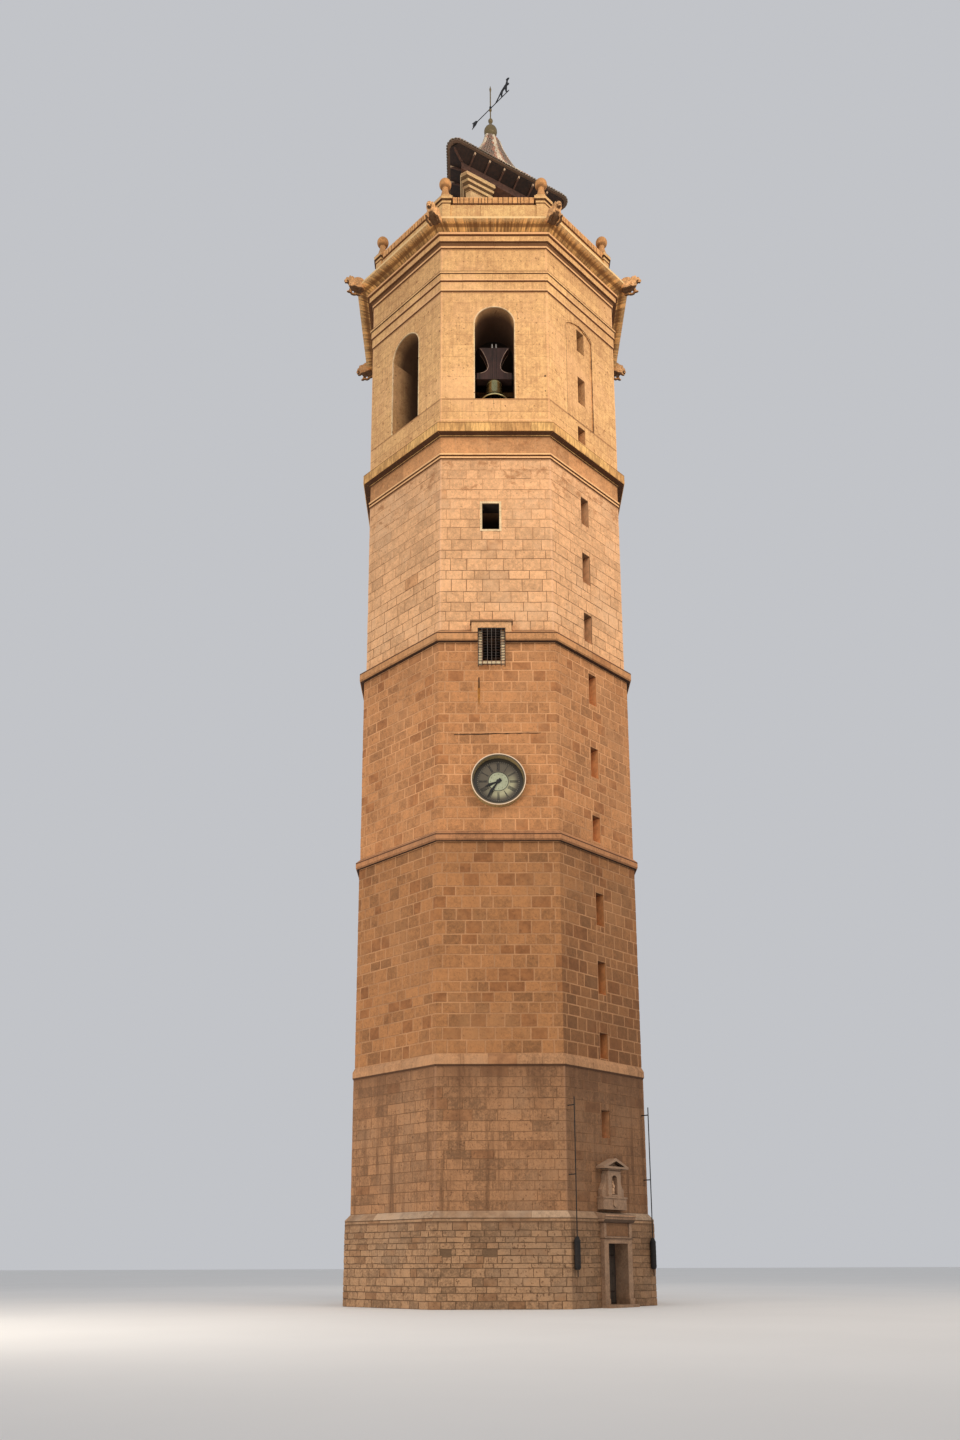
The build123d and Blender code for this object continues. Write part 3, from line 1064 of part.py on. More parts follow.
def roof():
    """A hollow three-sided roof that sweeps up to a steep spire with six ridges, and its finial."""
    base = EAVES_HEIGHT
    foot = (EAVES_IN, 2 * EAVES_IN - EAVES_ROUND, EAVES_ROUND)
    outer = [roof_ring(base, *foot, 0), roof_ring(base + EAVES_EDGE, *foot, 0)]
    outer += [roof_ring(base + level[0], *level[1:], 0) for level in ROOF_LEVELS]
    inner = [roof_ring(base, *foot, ROOF_SKIN)]
    inner += [roof_ring(base + level[0], *level[1:], ROOF_SKIN) for level in ROOF_LEVELS[:-1]]
    shell = closed_shell(list(reversed(outer)) + inner)
    save("pavilion_roof", shell)
    top = base + ROOF_LEVELS[-1][0]
    foot = FINIAL_CENTRE - sqrt(FINIAL_R ** 2 - 110 ** 2)
    knob_low = KNOB_HEIGHT - sqrt(KNOB_R ** 2 - FINIAL_STEM_R ** 2 * 0.36)
    stem_low = FINIAL_CENTRE + sqrt(FINIAL_R ** 2 - FINIAL_STEM_R ** 2)
    knob_high = KNOB_HEIGHT + sqrt(KNOB_R ** 2 - VANE_ROD_R ** 2)
    collar = VANE_HEIGHT - VANE_SLEEVE_LENGTH / 2 - PIN_GAP
    stem_top_r = FINIAL_STEM_R * 0.6
    edges = [
        Polyline((0, 0, top), (150, 0, top), (150, 0, top + 20), (110, 0, top + 40), (110, 0, foot)),
        ThreePointArc((110, 0, foot), (FINIAL_R, 0, FINIAL_CENTRE), (FINIAL_STEM_R, 0, stem_low)),
        Line((FINIAL_STEM_R, 0, stem_low), (stem_top_r, 0, knob_low)),
        ThreePointArc((stem_top_r, 0, knob_low), (KNOB_R, 0, KNOB_HEIGHT), (VANE_ROD_R, 0, knob_high)),
        Polyline((VANE_ROD_R, 0, knob_high), (VANE_ROD_R, 0, collar - COLLAR_HEIGHT),
                 (COLLAR_R, 0, collar - COLLAR_HEIGHT), (COLLAR_R, 0, collar), (VANE_ROD_R, 0, collar),
                 (VANE_ROD_R, 0, VANE_ROD_TOP - 220), (VANE_ROD_R * 1.8, 0, VANE_ROD_TOP - 130),
                 (0, 0, VANE_ROD_TOP), (0, 0, top)),
    ]
    save("roof_finial", revolve(make_face(edges), Axis.Z))


def weather_vane():
    """A pointer and a walking beast cut from plate, on a sleeve that turns on the rod."""
    low = VANE_HEIGHT - VANE_BAR / 2
    bar = block(-VANE_BACK, VANE_FRONT, -VANE_PLATE / 2, VANE_PLATE / 2, low, low + VANE_BAR)
    tail = [(-VANE_BACK + 120, low - 60), (-VANE_BACK - 30, low - 90), (-VANE_BACK + 40, low + VANE_BAR / 2),
            (-VANE_BACK - 30, low + VANE_BAR + 90), (-VANE_BACK + 120, low + VANE_BAR + 60),
            (-VANE_BACK + 200, low + VANE_BAR / 2)]
    foot = low + VANE_BAR - 2
    outline = [(0.261, 0.000), (0.435, 0.159), (0.580, 0.312), (0.725, 0.391), (0.826, 0.435),
               (0.870, 0.536), (0.848, 0.630), (0.928, 0.638), (1.014, 0.580), (1.014, 0.533),
               (0.942, 0.500), (0.928, 0.420), (1.014, 0.312), (1.000, 0.268), (0.899, 0.290),
               (0.884, 0.087), (0.928, 0.000), (0.855, 0.000), (0.812, 0.101), (0.790, 0.246),
               (0.681, 0.217), (0.638, 0.087), (0.667, 0.000), (0.587, 0.000), (0.572, 0.087),
               (0.551, 0.174), (0.435, 0.072), (0.333, 0.000)]
    beast = [(x * VANE_FRONT, foot + rise * VANE_FRONT) for x, rise in outline]
    vane = bar
    for points in (tail, beast):
        plate = make_face(Polyline(*[(x, 0, z) for x, z in points], close=True))
        vane += extrude(plate, amount=VANE_PLATE / 2, dir=(0, 1, 0), both=True)
    vane += Pos(0, 0, VANE_HEIGHT) * Cylinder(VANE_SLEEVE_R, VANE_SLEEVE_LENGTH)
    vane -= Pos(0, 0, VANE_HEIGHT) * Cylinder(VANE_ROD_R + PIN_GAP, VANE_SLEEVE_LENGTH + 2)
    save("weather_vane", Rot(0, 0, VANE_ANGLE) * vane)


os.makedirs("parts", exist_ok=True)
plinth()
stages()
window_cage()
floors()
bell_stage()
entablature()
parapet()
doorway()
niche()
wall_rods()
clock()
bell()
pavilion()
weather_vane()
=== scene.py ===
"""Dresses a packed octagonal bell tower: its stonework, roof tiles, timber, clock, bell and metalwork."""

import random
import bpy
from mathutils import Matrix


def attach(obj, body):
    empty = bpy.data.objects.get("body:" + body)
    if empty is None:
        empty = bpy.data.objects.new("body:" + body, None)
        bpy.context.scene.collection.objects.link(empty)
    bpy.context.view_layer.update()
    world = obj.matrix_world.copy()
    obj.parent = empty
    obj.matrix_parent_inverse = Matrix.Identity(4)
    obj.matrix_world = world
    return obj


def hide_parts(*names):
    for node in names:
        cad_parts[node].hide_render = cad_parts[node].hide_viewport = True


bl_info = {
    "name": "Bell tower dressing",
    "version": (1, 0, 0),
    "blender": (4, 5, 0),
    "location": "View3D > Sidebar > Bell tower",
    "description": "Lays the stones, tiles, timber and metal of an octagonal bell tower over its frame",
    "category": "Object",
}

from collections import namedtuple
from math import acos, atan2, cos, degrees, hypot, pi, radians, sin, tan

import bmesh
import bpy
from bpy.props import FloatProperty, FloatVectorProperty, IntProperty, PointerProperty
from mathutils import Matrix, Vector

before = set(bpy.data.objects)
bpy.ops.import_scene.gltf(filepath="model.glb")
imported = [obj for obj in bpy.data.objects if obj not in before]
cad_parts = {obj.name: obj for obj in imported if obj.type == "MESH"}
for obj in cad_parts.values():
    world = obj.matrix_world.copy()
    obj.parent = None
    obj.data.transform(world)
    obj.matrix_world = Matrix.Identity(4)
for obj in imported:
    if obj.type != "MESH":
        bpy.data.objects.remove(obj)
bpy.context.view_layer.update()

TOWER = "tower"
UP = Vector((0, 0, 1))
FACES = range(8)
FRONT, DOORWAY = 0, 1
HALF_FACE = radians(22.5)

# Half widths of the stages, and of the rooms inside them
PLINTH_HALF, STAGE_1_HALF, STAGE_2_HALF, STAGE_3_HALF, STAGE_4_HALF = 3.015, 2.915, 2.895, 2.88, 2.835
BELL_HALF, PARAPET_HALF, ROOM_HALF = 2.85, 2.825, 1.85
# Foot and top of the mouldings between the stages
WEATHERING, STRING_1, STRING_2, STRING_3 = (1.54, 1.73), (4.39, 4.63), (8.86, 9.09), (13.2, 13.5)
ASTRAGAL, STRING_4, ARCHITRAVE = (17.59, 17.737), (18.155, 18.45), (21.915, 22.415)
CORONA, CAVETTO = (23.08, 23.4), (23.4, 23.56)
# Heights between which the joints of the fourth stage fade out
JOINT_FADE = (14.8, 16.6)

# Slits on the doorway face: side, sill, height
SLIT_HALF = 0.125
SLITS = [(-0.025, 3.126, 0.528), (0.018, 4.67, 0.51), (0.018, 5.96, 0.67), (0.018, 7.37, 0.685),
         (0.0, 9.16, 0.56), (0.0, 10.57, 0.667), (0.0, 12.217, 0.703), (-0.04, 13.685, 0.66),
         (-0.04, 15.097, 0.71), (-0.04, 16.53, 0.67), (-0.09, 18.6, 0.385), (-0.015, 19.66, 0.695),
         (-0.015, 21.05, 0.58)]
# Two stones that are missing from the front of the plinth: left, right, foot, top
PUTLOGS = [(-0.317, -0.075, 0.912, 1.032), (-1.1, -0.9, 0.912, 1.032)]
DOOR_HALF, DOOR_TOP, DOOR_FRONT = 0.33, 1.54, 2.794
WINDOW_SIDE, WINDOW_HALF, WINDOW_SILL, WINDOW_HEAD = -0.108, 0.182, 15.874, 16.5
CAGE_HALF, CAGE_SILL, CAGE_HEAD = 0.281, 12.655, 13.476
GRILLE_HALF, GRILLE_SILL, GRILLE_HEAD = 0.185, 12.795, 13.5
ARCH_HALF, ARCH_SILL, ARCH_SPRING = 0.438, 19.115, 21.072
BLIND_SIDE, BLIND_HALF, BLIND_SPRING, BLIND_CROWN = -0.1, 0.45, 21.51, 21.71
BELL_OUT, BELL_HEIGHT = 2.35, 20.058

# Stages of the wall: node of the wall, half width, foot, top
STAGES = {
    "plinth": ("plinth_walls", PLINTH_HALF, 0.0, WEATHERING[0]),
    "stage_1": ("stage_1_walls", STAGE_1_HALF, WEATHERING[1], STRING_1[0]),
    "stage_2": ("stage_2_walls", STAGE_2_HALF, STRING_1[1], STRING_2[0]),
    "stage_3": ("stage_3_walls", STAGE_3_HALF, STRING_2[1], STRING_3[0]),
    "stage_4": ("stage_4_walls", STAGE_4_HALF, STRING_3[1], ASTRAGAL[0]),
    "neck": ("stage_4_walls", STAGE_4_HALF, ASTRAGAL[1], STRING_4[0]),
    "sill": ("bell_stage_sill_walls", BELL_HALF, STRING_4[1], ARCH_SILL),
    "bell": ("bell_stage_piers", BELL_HALF, ARCH_SILL, ARCHITRAVE[0]),
    "frieze": ("frieze", BELL_HALF, ARCHITRAVE[1], CORONA[0]),
}
# How blocks are cut: height of a course, length, width of a joint, how far they stand out, width of the worn
# edge, how rough they are, how uneven the courses are
Cut = namedtuple("Cut", "course length joint rise edge wobble spread")
# How far the edges of a block lie behind the face of its wall
BLOCK_BACK = 0.003
MOULDING_JOINT = 0.003


def face_axes(face):
    """Outward and rightward directions of a face, seen from outside."""
    angle = radians(-90 + 45 * face)
    return Vector((cos(angle), sin(angle), 0)), Vector((-sin(angle), cos(angle), 0))


def on_wall(face, out, side, height):
    """The spot at a distance out from the tower's axis towards a face, to the side of its middle, and up."""
    outward, right = face_axes(face)
    return outward * out + right * side + UP * height


def around(count):
    """Even angles round a full turn."""
    return [2 * pi * k / count for k in range(count)]


class Value:
    """A number or colour that varies over a surface. Sums of it add Math nodes."""

    def __init__(self, paint, socket):
        self.paint = paint
        self.socket = socket

    def maths(self, operation, first, second=0.0):
        return self.paint.node("ShaderNodeMath", {"operation": operation}, {0: first, 1: second})

    def __add__(self, other):
        return self.maths("ADD", self, other)

    def __sub__(self, other):
        return self.maths("SUBTRACT", self, other)

    def __rsub__(self, other):
        return self.maths("SUBTRACT", other, self)

    def __mul__(self, other):
        return self.maths("MULTIPLY", self, other)

    def size(self):
        return self.maths("ABSOLUTE", self)

    def fraction(self):
        return self.maths("FRACT", self)

    def larger(self, other):
        return self.maths("MAXIMUM", self, other)


class Paint:
    """A material under construction."""

    def __init__(self, name):
        self.material = bpy.data.materials.new(name)
        self.material.use_nodes = True
        self.tree = self.material.node_tree
        self.shader = self.tree.nodes["Principled BSDF"]

    def node(self, kind, settings, inputs, output=0):
        node = self.tree.nodes.new(kind)
        for key, value in settings.items():
            if key == "stops":
                for stop, (place, colour) in zip(self.ramp_stops(node, len(value)), value):
                    stop.position, stop.color = place, (*colour, 1)
            else:
                setattr(node, key, value)
        for key, value in inputs.items():
            self.feed(node.inputs[key], value)
        return Value(self, node.outputs[output])

    def ramp_stops(self, node, count):
        stops = node.color_ramp.elements
        while len(stops) < count:
            stops.new(1.0)
        return stops

    def feed(self, socket, value):
        if isinstance(value, Value):
            self.tree.links.new(value.socket, socket)
        else:
            socket.default_value = (*value, 1) if socket.type == "RGBA" else value

    def place(self):
        return self.node("ShaderNodeTexCoord", {}, {}, "Object")

    def normal(self):
        return self.node("ShaderNodeTexCoord", {}, {}, "Normal")

    def part(self, vector, axis):
        return self.node("ShaderNodeSeparateXYZ", {}, {0: vector}, axis)

    def vector(self, operation, first, second, output=0):
        return self.node("ShaderNodeVectorMath", {"operation": operation}, {0: first, 1: second}, output)

    def mark(self, name):
        """A number that the mesh holds for each face."""
        return self.node("ShaderNodeAttribute", {"attribute_name": name}, {}, "Fac")

    # How far a surface faces down: the mask of the painted shade on undersides.
    def underside_shade(self, low=0.35, high=0.75):
        return self.spread(0.0 - self.part(self.normal(), 2), low, high)

    def octagon(self, place):
        """How far out a point lies on the tower's eight-sided plan, and how far it is from a corner."""
        x, y = self.part(place, 0).size(), self.part(place, 1).size()
        straight, slanting = x.larger(y), (x + y) * 0.70711
        return straight.larger(slanting), (straight - slanting).size()

    def unrolled(self, place, across, down):
        """The tower's surface rolled out flat, scaled across and down, so that marks run straight down it."""
        arc = self.node("ShaderNodeMath", {"operation": "ARCTAN2"},
                        {0: self.part(place, 1), 1: self.part(place, 0)})
        return self.node("ShaderNodeCombineXYZ", {},
                         {0: arc * 3.0 * across, 1: 0.0, 2: self.part(place, 2) * down})

    def stretched(self, place, scale):
        return self.vector("MULTIPLY", place, scale)

    def noise(self, place, scale, detail=4.0, roughness=0.55):
        return self.node("ShaderNodeTexNoise", {}, {"Vector": place, "Scale": scale, "Detail": detail,
                                                    "Roughness": roughness})

    def spread(self, value, low, high):
        """0 below low and 1 above high, with a soft step between them."""
        return self.node("ShaderNodeMapRange", {"interpolation_type": "SMOOTHSTEP"},
                         {"Value": value, "From Min": low, "From Max": high})

    def mix(self, share, first, second):
        return self.node("ShaderNodeMix", {"data_type": "RGBA"}, {0: share, 6: first, 7: second}, 2)

    def bump(self, height, strength, depth):
        return self.node("ShaderNodeBump", {}, {"Height": height, "Strength": strength, "Distance": depth})

    def finish(self, **sockets):
        for name, value in sockets.items():
            self.feed(self.shader.inputs[name.replace("_", " ")], value)
        return self.material


def tinted(colour, *shares):
    return tuple(min(1.0, part * share) for part, share in zip(colour, shares))


def scaled(colour, share):
    return tinted(colour, share, share, share)


def stone_paint(name, colour, half=None, top=None, runs=0.3, pits=0.3, tones=0.0, brown=0.0, edges=None,
                arris=0.0, under=0.55, grain=30.0, relief=0.004, tooling=0.0, speckle=0.4, lines=(),
                recess_shade=(0.12, 0.5), side_shade=0.0, fade=None, worn=None, streaks=0.0):
    """Weathered stone: tones and brown stones, blotches, dirt that runs down, pits and worn edges, and painted
    shade.

    half is the wall's half width, and soot the depths behind it between which the stone turns black, a painted
    shade inside openings. top is the foot of the moulding above, with a painted shadow line under it. lines
    are dark painted shadow lines and joints, and pale painted highlights on lit edges, as (height, half
    thickness, share, pale or not). damp darkens the doorway's side low down with painted shade, and under the
    undersides.
    fade is the heights between which the joints fade out, and worn the heights between which brown worn
    patches begin, with their share. streaks are narrow upright marks.
    """
    paint = Paint(name)
    place = paint.place()
    tone = paint.mark("tone")
    sort = (tone * 37.0).fraction()
    blotch = paint.noise(place, 0.9, 3.0)
    mottle = paint.noise(place, 5.5, 5.0, 0.62)
    grains = paint.noise(place, grain, 5.0, 0.65)
    streak = paint.noise(paint.stretched(place, (5.0, 5.0, 0.3)), 1.0, 5.0, 0.6)
    holes = paint.spread(paint.noise(place, grain * 0.6, 2.0), 0.62, 0.72)
    height = paint.part(place, 2)
    fine = paint.spread(paint.noise(paint.stretched(place, (1.0, 1.0, 0.8)), 34.0, 4.0, 0.75), 0.32, 0.68)
    fine = fine * 0.6 + paint.spread(paint.noise(place, 11.0, 5.0, 0.75), 0.38, 0.66) * 0.4
    shade = tone * tones + blotch * 0.3 + mottle * 0.45 + grains * 0.3 - 0.35 * tones - 0.05
    shade = shade + (fine - 0.5) * speckle
    if streaks:
        upright = paint.noise(paint.stretched(place, (24.0, 24.0, 0.9)), 1.0, 4.0, 0.65)
        shade = shade + (upright - 0.5) * streaks
    skin = paint.mix(paint.spread(shade, 0.1, 0.9), scaled(colour, 0.6), scaled(colour, 1.3))
    brown_stone = paint.mix(paint.spread(mottle, 0.35, 0.65), tinted(colour, 0.6, 0.5, 0.42),
                            tinted(colour, 0.92, 0.82, 0.72))
    skin = paint.mix(paint.spread(sort, 1.0 - brown, 1.0 - brown * 0.5) * 0.75, skin, brown_stone)
    bloom = paint.spread(paint.noise(place, 0.8, 6.0, 0.7), 0.48, 0.66) * 0.5
    skin = paint.mix(bloom, skin, tinted(colour, 1.06, 1.18, 1.35))
    if edges:
        rim_colour, rim_share = edges
        rim = paint.mark("edge") * paint.spread(mottle + grains * 0.4, 0.45, 0.72)
        if fade:
            rim = rim * (1.0 - paint.spread(height, *fade) * 0.9)
        skin = paint.mix(rim * rim_share, skin, rim_colour)
    dirt = paint.spread(streak + mottle * 0.15, 0.6, 0.82) * runs
    if top:
        hanging = paint.spread(height + streak * 1.6, top - 0.25, top + 1.3) * runs
        # A painted shadow line runs just under the moulding above; dirt takes it in with the real runs.
        line = paint.spread(height + grains * 0.03, top - 0.045, top) * 0.75
        dirt = dirt.larger(hanging).larger(line)
    skin = paint.mix(dirt, skin, tinted(colour, 0.3, 0.24, 0.2))
    skin = paint.mix(holes * pits, skin, tinted(colour, 0.36, 0.3, 0.26))
    if worn:
        low, high, share = worn
        patch = paint.noise(paint.stretched(place, (1.0, 1.0, 1.4)), 3.4, 7.0, 0.78)
        patch = patch + paint.spread(height, low, high) * 0.14 + fine * 0.05
        skin = paint.mix(paint.spread(patch, 0.68, 0.76) * share, skin, tinted(colour, 0.52, 0.4, 0.3))
    # Undersides turn near black as much as under asks: painted shade.
    skin = paint.mix(paint.underside_shade() * under, skin, tinted(colour, 0.05, 0.035, 0.025))
    # Dark lines are painted shadow lines and dark joints; pale lines are painted highlights on lit edges.
    for level, thick, share, *pale in lines:
        away = (height + grains * 0.008 - level - 0.004).size()
        line = 1.0 - paint.spread(away, thick * 0.7, thick * 1.3)
        edge = tinted(colour, 1.12, 1.22, 1.4) if pale else tinted(colour, 0.16, 0.12, 0.09)
        skin = paint.mix(line * share, skin, edge)
    # Painted shade on the faces towards the doorway's side, fading out higher up.
    if side_shade:
        side = paint.vector("DOT_PRODUCT", paint.normal(), (0.766, -0.643, 0), 1)
        shaded = paint.spread(side, 0.72, 0.93) * (1.0 - paint.spread(height, 4.0, 9.5))
        skin = paint.mix(shaded * side_shade, skin, tinted(colour, 0.3, 0.25, 0.2))
    if half:
        reach, corner = paint.octagon(place)
        if arris:
            skin = paint.mix((1.0 - paint.spread(corner, 0.006, 0.03)) * arris, skin,
                             tinted(colour, 1.12, 1.17, 1.35))
        # The stone turns black deeper behind the wall's face, inside openings: painted shade.
        skin = paint.mix(paint.spread(half - reach, *recess_shade) * 0.95, skin, tinted(colour, 0.06, 0.045, 0.035))
    relief_map = grains * 0.6 - holes * 0.5 + mottle * 0.3
    if tooling:
        relief_map = relief_map + paint.noise(paint.stretched(place, (70.0, 70.0, 5.0)), 1.0, 3.0) * tooling
    return paint.finish(Base_Color=skin, Roughness=0.9, Normal=paint.bump(relief_map, 0.8, relief))


def mortar_paint(name, colour, stone=None, half=None, fade=None, lit=1.6, recess_shade=(0.34, 0.7)):
    """Lime mortar, with the stone of the reveals behind it where a wall's half width is given.

    fade is the heights between which the joints take the colour of the stone. lit is how bright the reveals
    are painted, as painted light, and soot the depths between which they turn black with painted shade.
    """
    paint = Paint(name)
    place = paint.place()
    grains = paint.noise(place, 40.0, 4.0, 0.7)
    blotch = paint.noise(place, 1.1, 3.0)
    joints = paint.mix(paint.spread(blotch * 0.6 + grains * 0.4, 0.3, 0.7), scaled(colour, 0.66),
                       scaled(colour, 1.18))
    if half:
        reach, _ = paint.octagon(place)
        rough = paint.noise(place, 6.0, 5.0, 0.6)
        if fade:
            joints = paint.mix(paint.spread(paint.part(place, 2), *fade) * 0.8, joints, scaled(stone, 0.85))
        reveal = paint.mix(paint.spread(rough, 0.35, 0.65), scaled(stone, lit), scaled(stone, lit * 1.4))
        joints = paint.mix(paint.spread(half - reach, 0.006, 0.02), joints, reveal)
        # Painted shade under the heads of the reveals, and black deeper inside the openings.
        joints = paint.mix(paint.underside_shade() * 0.8, joints, scaled(stone, 0.12))
        joints = paint.mix(paint.spread(half - reach, *recess_shade) * 0.93, joints, scaled(stone, 0.07))
    return paint.finish(Base_Color=joints, Roughness=0.95, Normal=paint.bump(grains, 0.5, 0.003))


def cavetto_paint(name, colour, lip, runs, under):
    """Golden moulded stone with narrow dark runs down it, a pale top edge from the height lip that is a
    painted highlight, and a painted shadow line just under that edge.

    under is how black its underside is, as painted shade.
    """
    paint = Paint(name)
    place = paint.place()
    tone, height = paint.mark("tone"), paint.part(place, 2)
    wide = paint.noise(paint.unrolled(place, 3.0, 2.0), 1.0, 4.0, 0.6)
    narrow = paint.noise(paint.unrolled(place, 22.0, 3.0), 1.0, 4.0, 0.65)
    rough = paint.noise(place, 30.0, 5.0, 0.65)
    shade = paint.spread(tone * 0.4 + rough * 0.6, 0.25, 0.75)
    gold = paint.mix(shade, scaled(colour, 0.7), scaled(colour, 1.3))
    streaked = paint.spread(wide * 0.5 + narrow * 0.8, 0.52, 0.74)
    gold = paint.mix(streaked * runs, gold, tinted(colour, 0.2, 0.17, 0.15))
    # A painted highlight on the top edge, a painted shadow line just under it, and painted shade underneath.
    top = paint.spread(height + rough * 0.012, lip, lip + 0.012)
    shadow = 1.0 - paint.spread((height + rough * 0.012 - lip + 0.012).size(), 0.006, 0.013)
    gold = paint.mix(shadow * 0.75, gold, tinted(colour, 0.2, 0.15, 0.1))
    gold = paint.mix(top * 0.85, gold, tinted(colour, 1.45, 1.7, 2.6))
    gold = paint.mix(paint.underside_shade(0.82, 0.95) * under, gold, tinted(colour, 0.06, 0.04, 0.03))
    return paint.finish(Base_Color=gold, Roughness=0.9, Normal=paint.bump(rough, 0.6, 0.004))


def wood_paint(name, colour, along=(1.0, 1.0, 12.0), ends=None):
    """Old timber with its fibres along one direction. Its ends turn pale between the heights in ends, a
    painted highlight.
    """
    paint = Paint(name)
    place = paint.place()
    fibres = paint.noise(paint.stretched(place, along), 14.0, 5.0, 0.6)
    blotch = paint.noise(place, 2.2, 3.0)
    grey = paint.mix(paint.spread(fibres * 0.65 + blotch * 0.35, 0.32, 0.68), scaled(colour, 0.45),
                     scaled(colour, 1.5))
    if ends:
        grey = paint.mix(paint.spread(paint.part(place, 2), *ends), grey, (0.62, 0.42, 0.26))
    return paint.finish(Base_Color=grey, Roughness=0.75, Normal=paint.bump(fibres, 0.6, 0.003))


def metal_paint(name, colour, worn, metallic, roughness, share=0.5):
    """Metal or paint with patches of a worn colour. share is how much of that colour shows in them."""
    paint = Paint(name)
    place = paint.place()
    patches = paint.noise(place, 7.0, 6.0, 0.65)
    fine = paint.noise(place, 60.0, 3.0)
    mask = paint.spread(patches * 0.7 + fine * 0.3, 0.42, 0.62) * share
    return paint.finish(Base_Color=paint.mix(mask, colour, worn), Metallic=metallic,
                        Roughness=paint.spread(fine, 0.2, 0.9) * 0.25 + roughness,
                        Normal=paint.bump(patches * 0.5 + fine * 0.5, 0.3, 0.002))


def clock_paint(name, colour, painted_light, centre, ring=False):
    """A dark dial lit round its middle with painted light, strongest below to the right, or the painted ring
    round it, its front pale with painted light and darker along its inner edge.
    """
    paint = Paint(name)
    place = paint.place()
    offset = paint.vector("SUBTRACT", place, centre)
    reach = paint.vector("LENGTH", paint.stretched(offset, (1.0, 0.0, 1.0)), (0.0, 0.0, 0.0), 1)
    rough = paint.noise(place, 26.0, 4.0, 0.7)
    if ring:
        face = paint.mix(paint.spread(rough, 0.3, 0.7), scaled(colour, 0.6), scaled(colour, 1.3))
        front = paint.spread(0.0 - paint.part(offset, 1), 0.125, 0.134)
        face = paint.mix(front, face, painted_light)
        face = paint.mix(front * (1.0 - paint.spread(reach, 0.522, 0.53)), face, scaled(colour, 0.2))
    else:
        lean = paint.part(offset, 0) - paint.part(offset, 2) * 1.3 + rough * 0.1
        face = paint.mix(paint.spread(lean, -0.1, 0.5) * (1.0 - paint.spread(reach, 0.26, 0.4)), colour, painted_light)
        face = paint.mix(paint.spread(reach, 0.36, 0.45), face, scaled(colour, 0.3))
    return paint.finish(Base_Color=face, Roughness=0.45, Normal=paint.bump(rough, 0.2, 0.001))


def tile_paint(name, roof):
    """Glazed tiles. Each tile's tone picks a dark, red or cream glaze."""
    paint = Paint(name)
    place = paint.place()
    tone = paint.mark("tone")
    stops = [(0.0, roof.dark_glaze), (0.4, roof.red_glaze), (0.75, roof.cream_glaze)]
    glaze = paint.node("ShaderNodeValToRGB", {"stops": stops}, {"Fac": tone})
    wear = paint.spread(paint.noise(place, 26.0, 5.0, 0.7), 0.4, 0.7)
    dirt = paint.spread(paint.noise(place, 5.0, 4.0), 0.45, 0.75)
    colour = paint.mix(wear * 0.35, glaze, (0.42, 0.27, 0.17))
    colour = paint.mix(dirt * 0.4, colour, (0.1, 0.075, 0.05))
    return paint.finish(Base_Color=colour, Roughness=wear * 0.35 + 0.3, Normal=paint.bump(wear, 0.3, 0.003))


def paint_nodes(material, *names):
    """Gives a finish to whole nodes of the frame."""
    for name in names:
        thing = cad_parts[name]
        if not thing.material_slots:
            thing.data.materials.append(material)
        for place in thing.material_slots:
            place.material = material


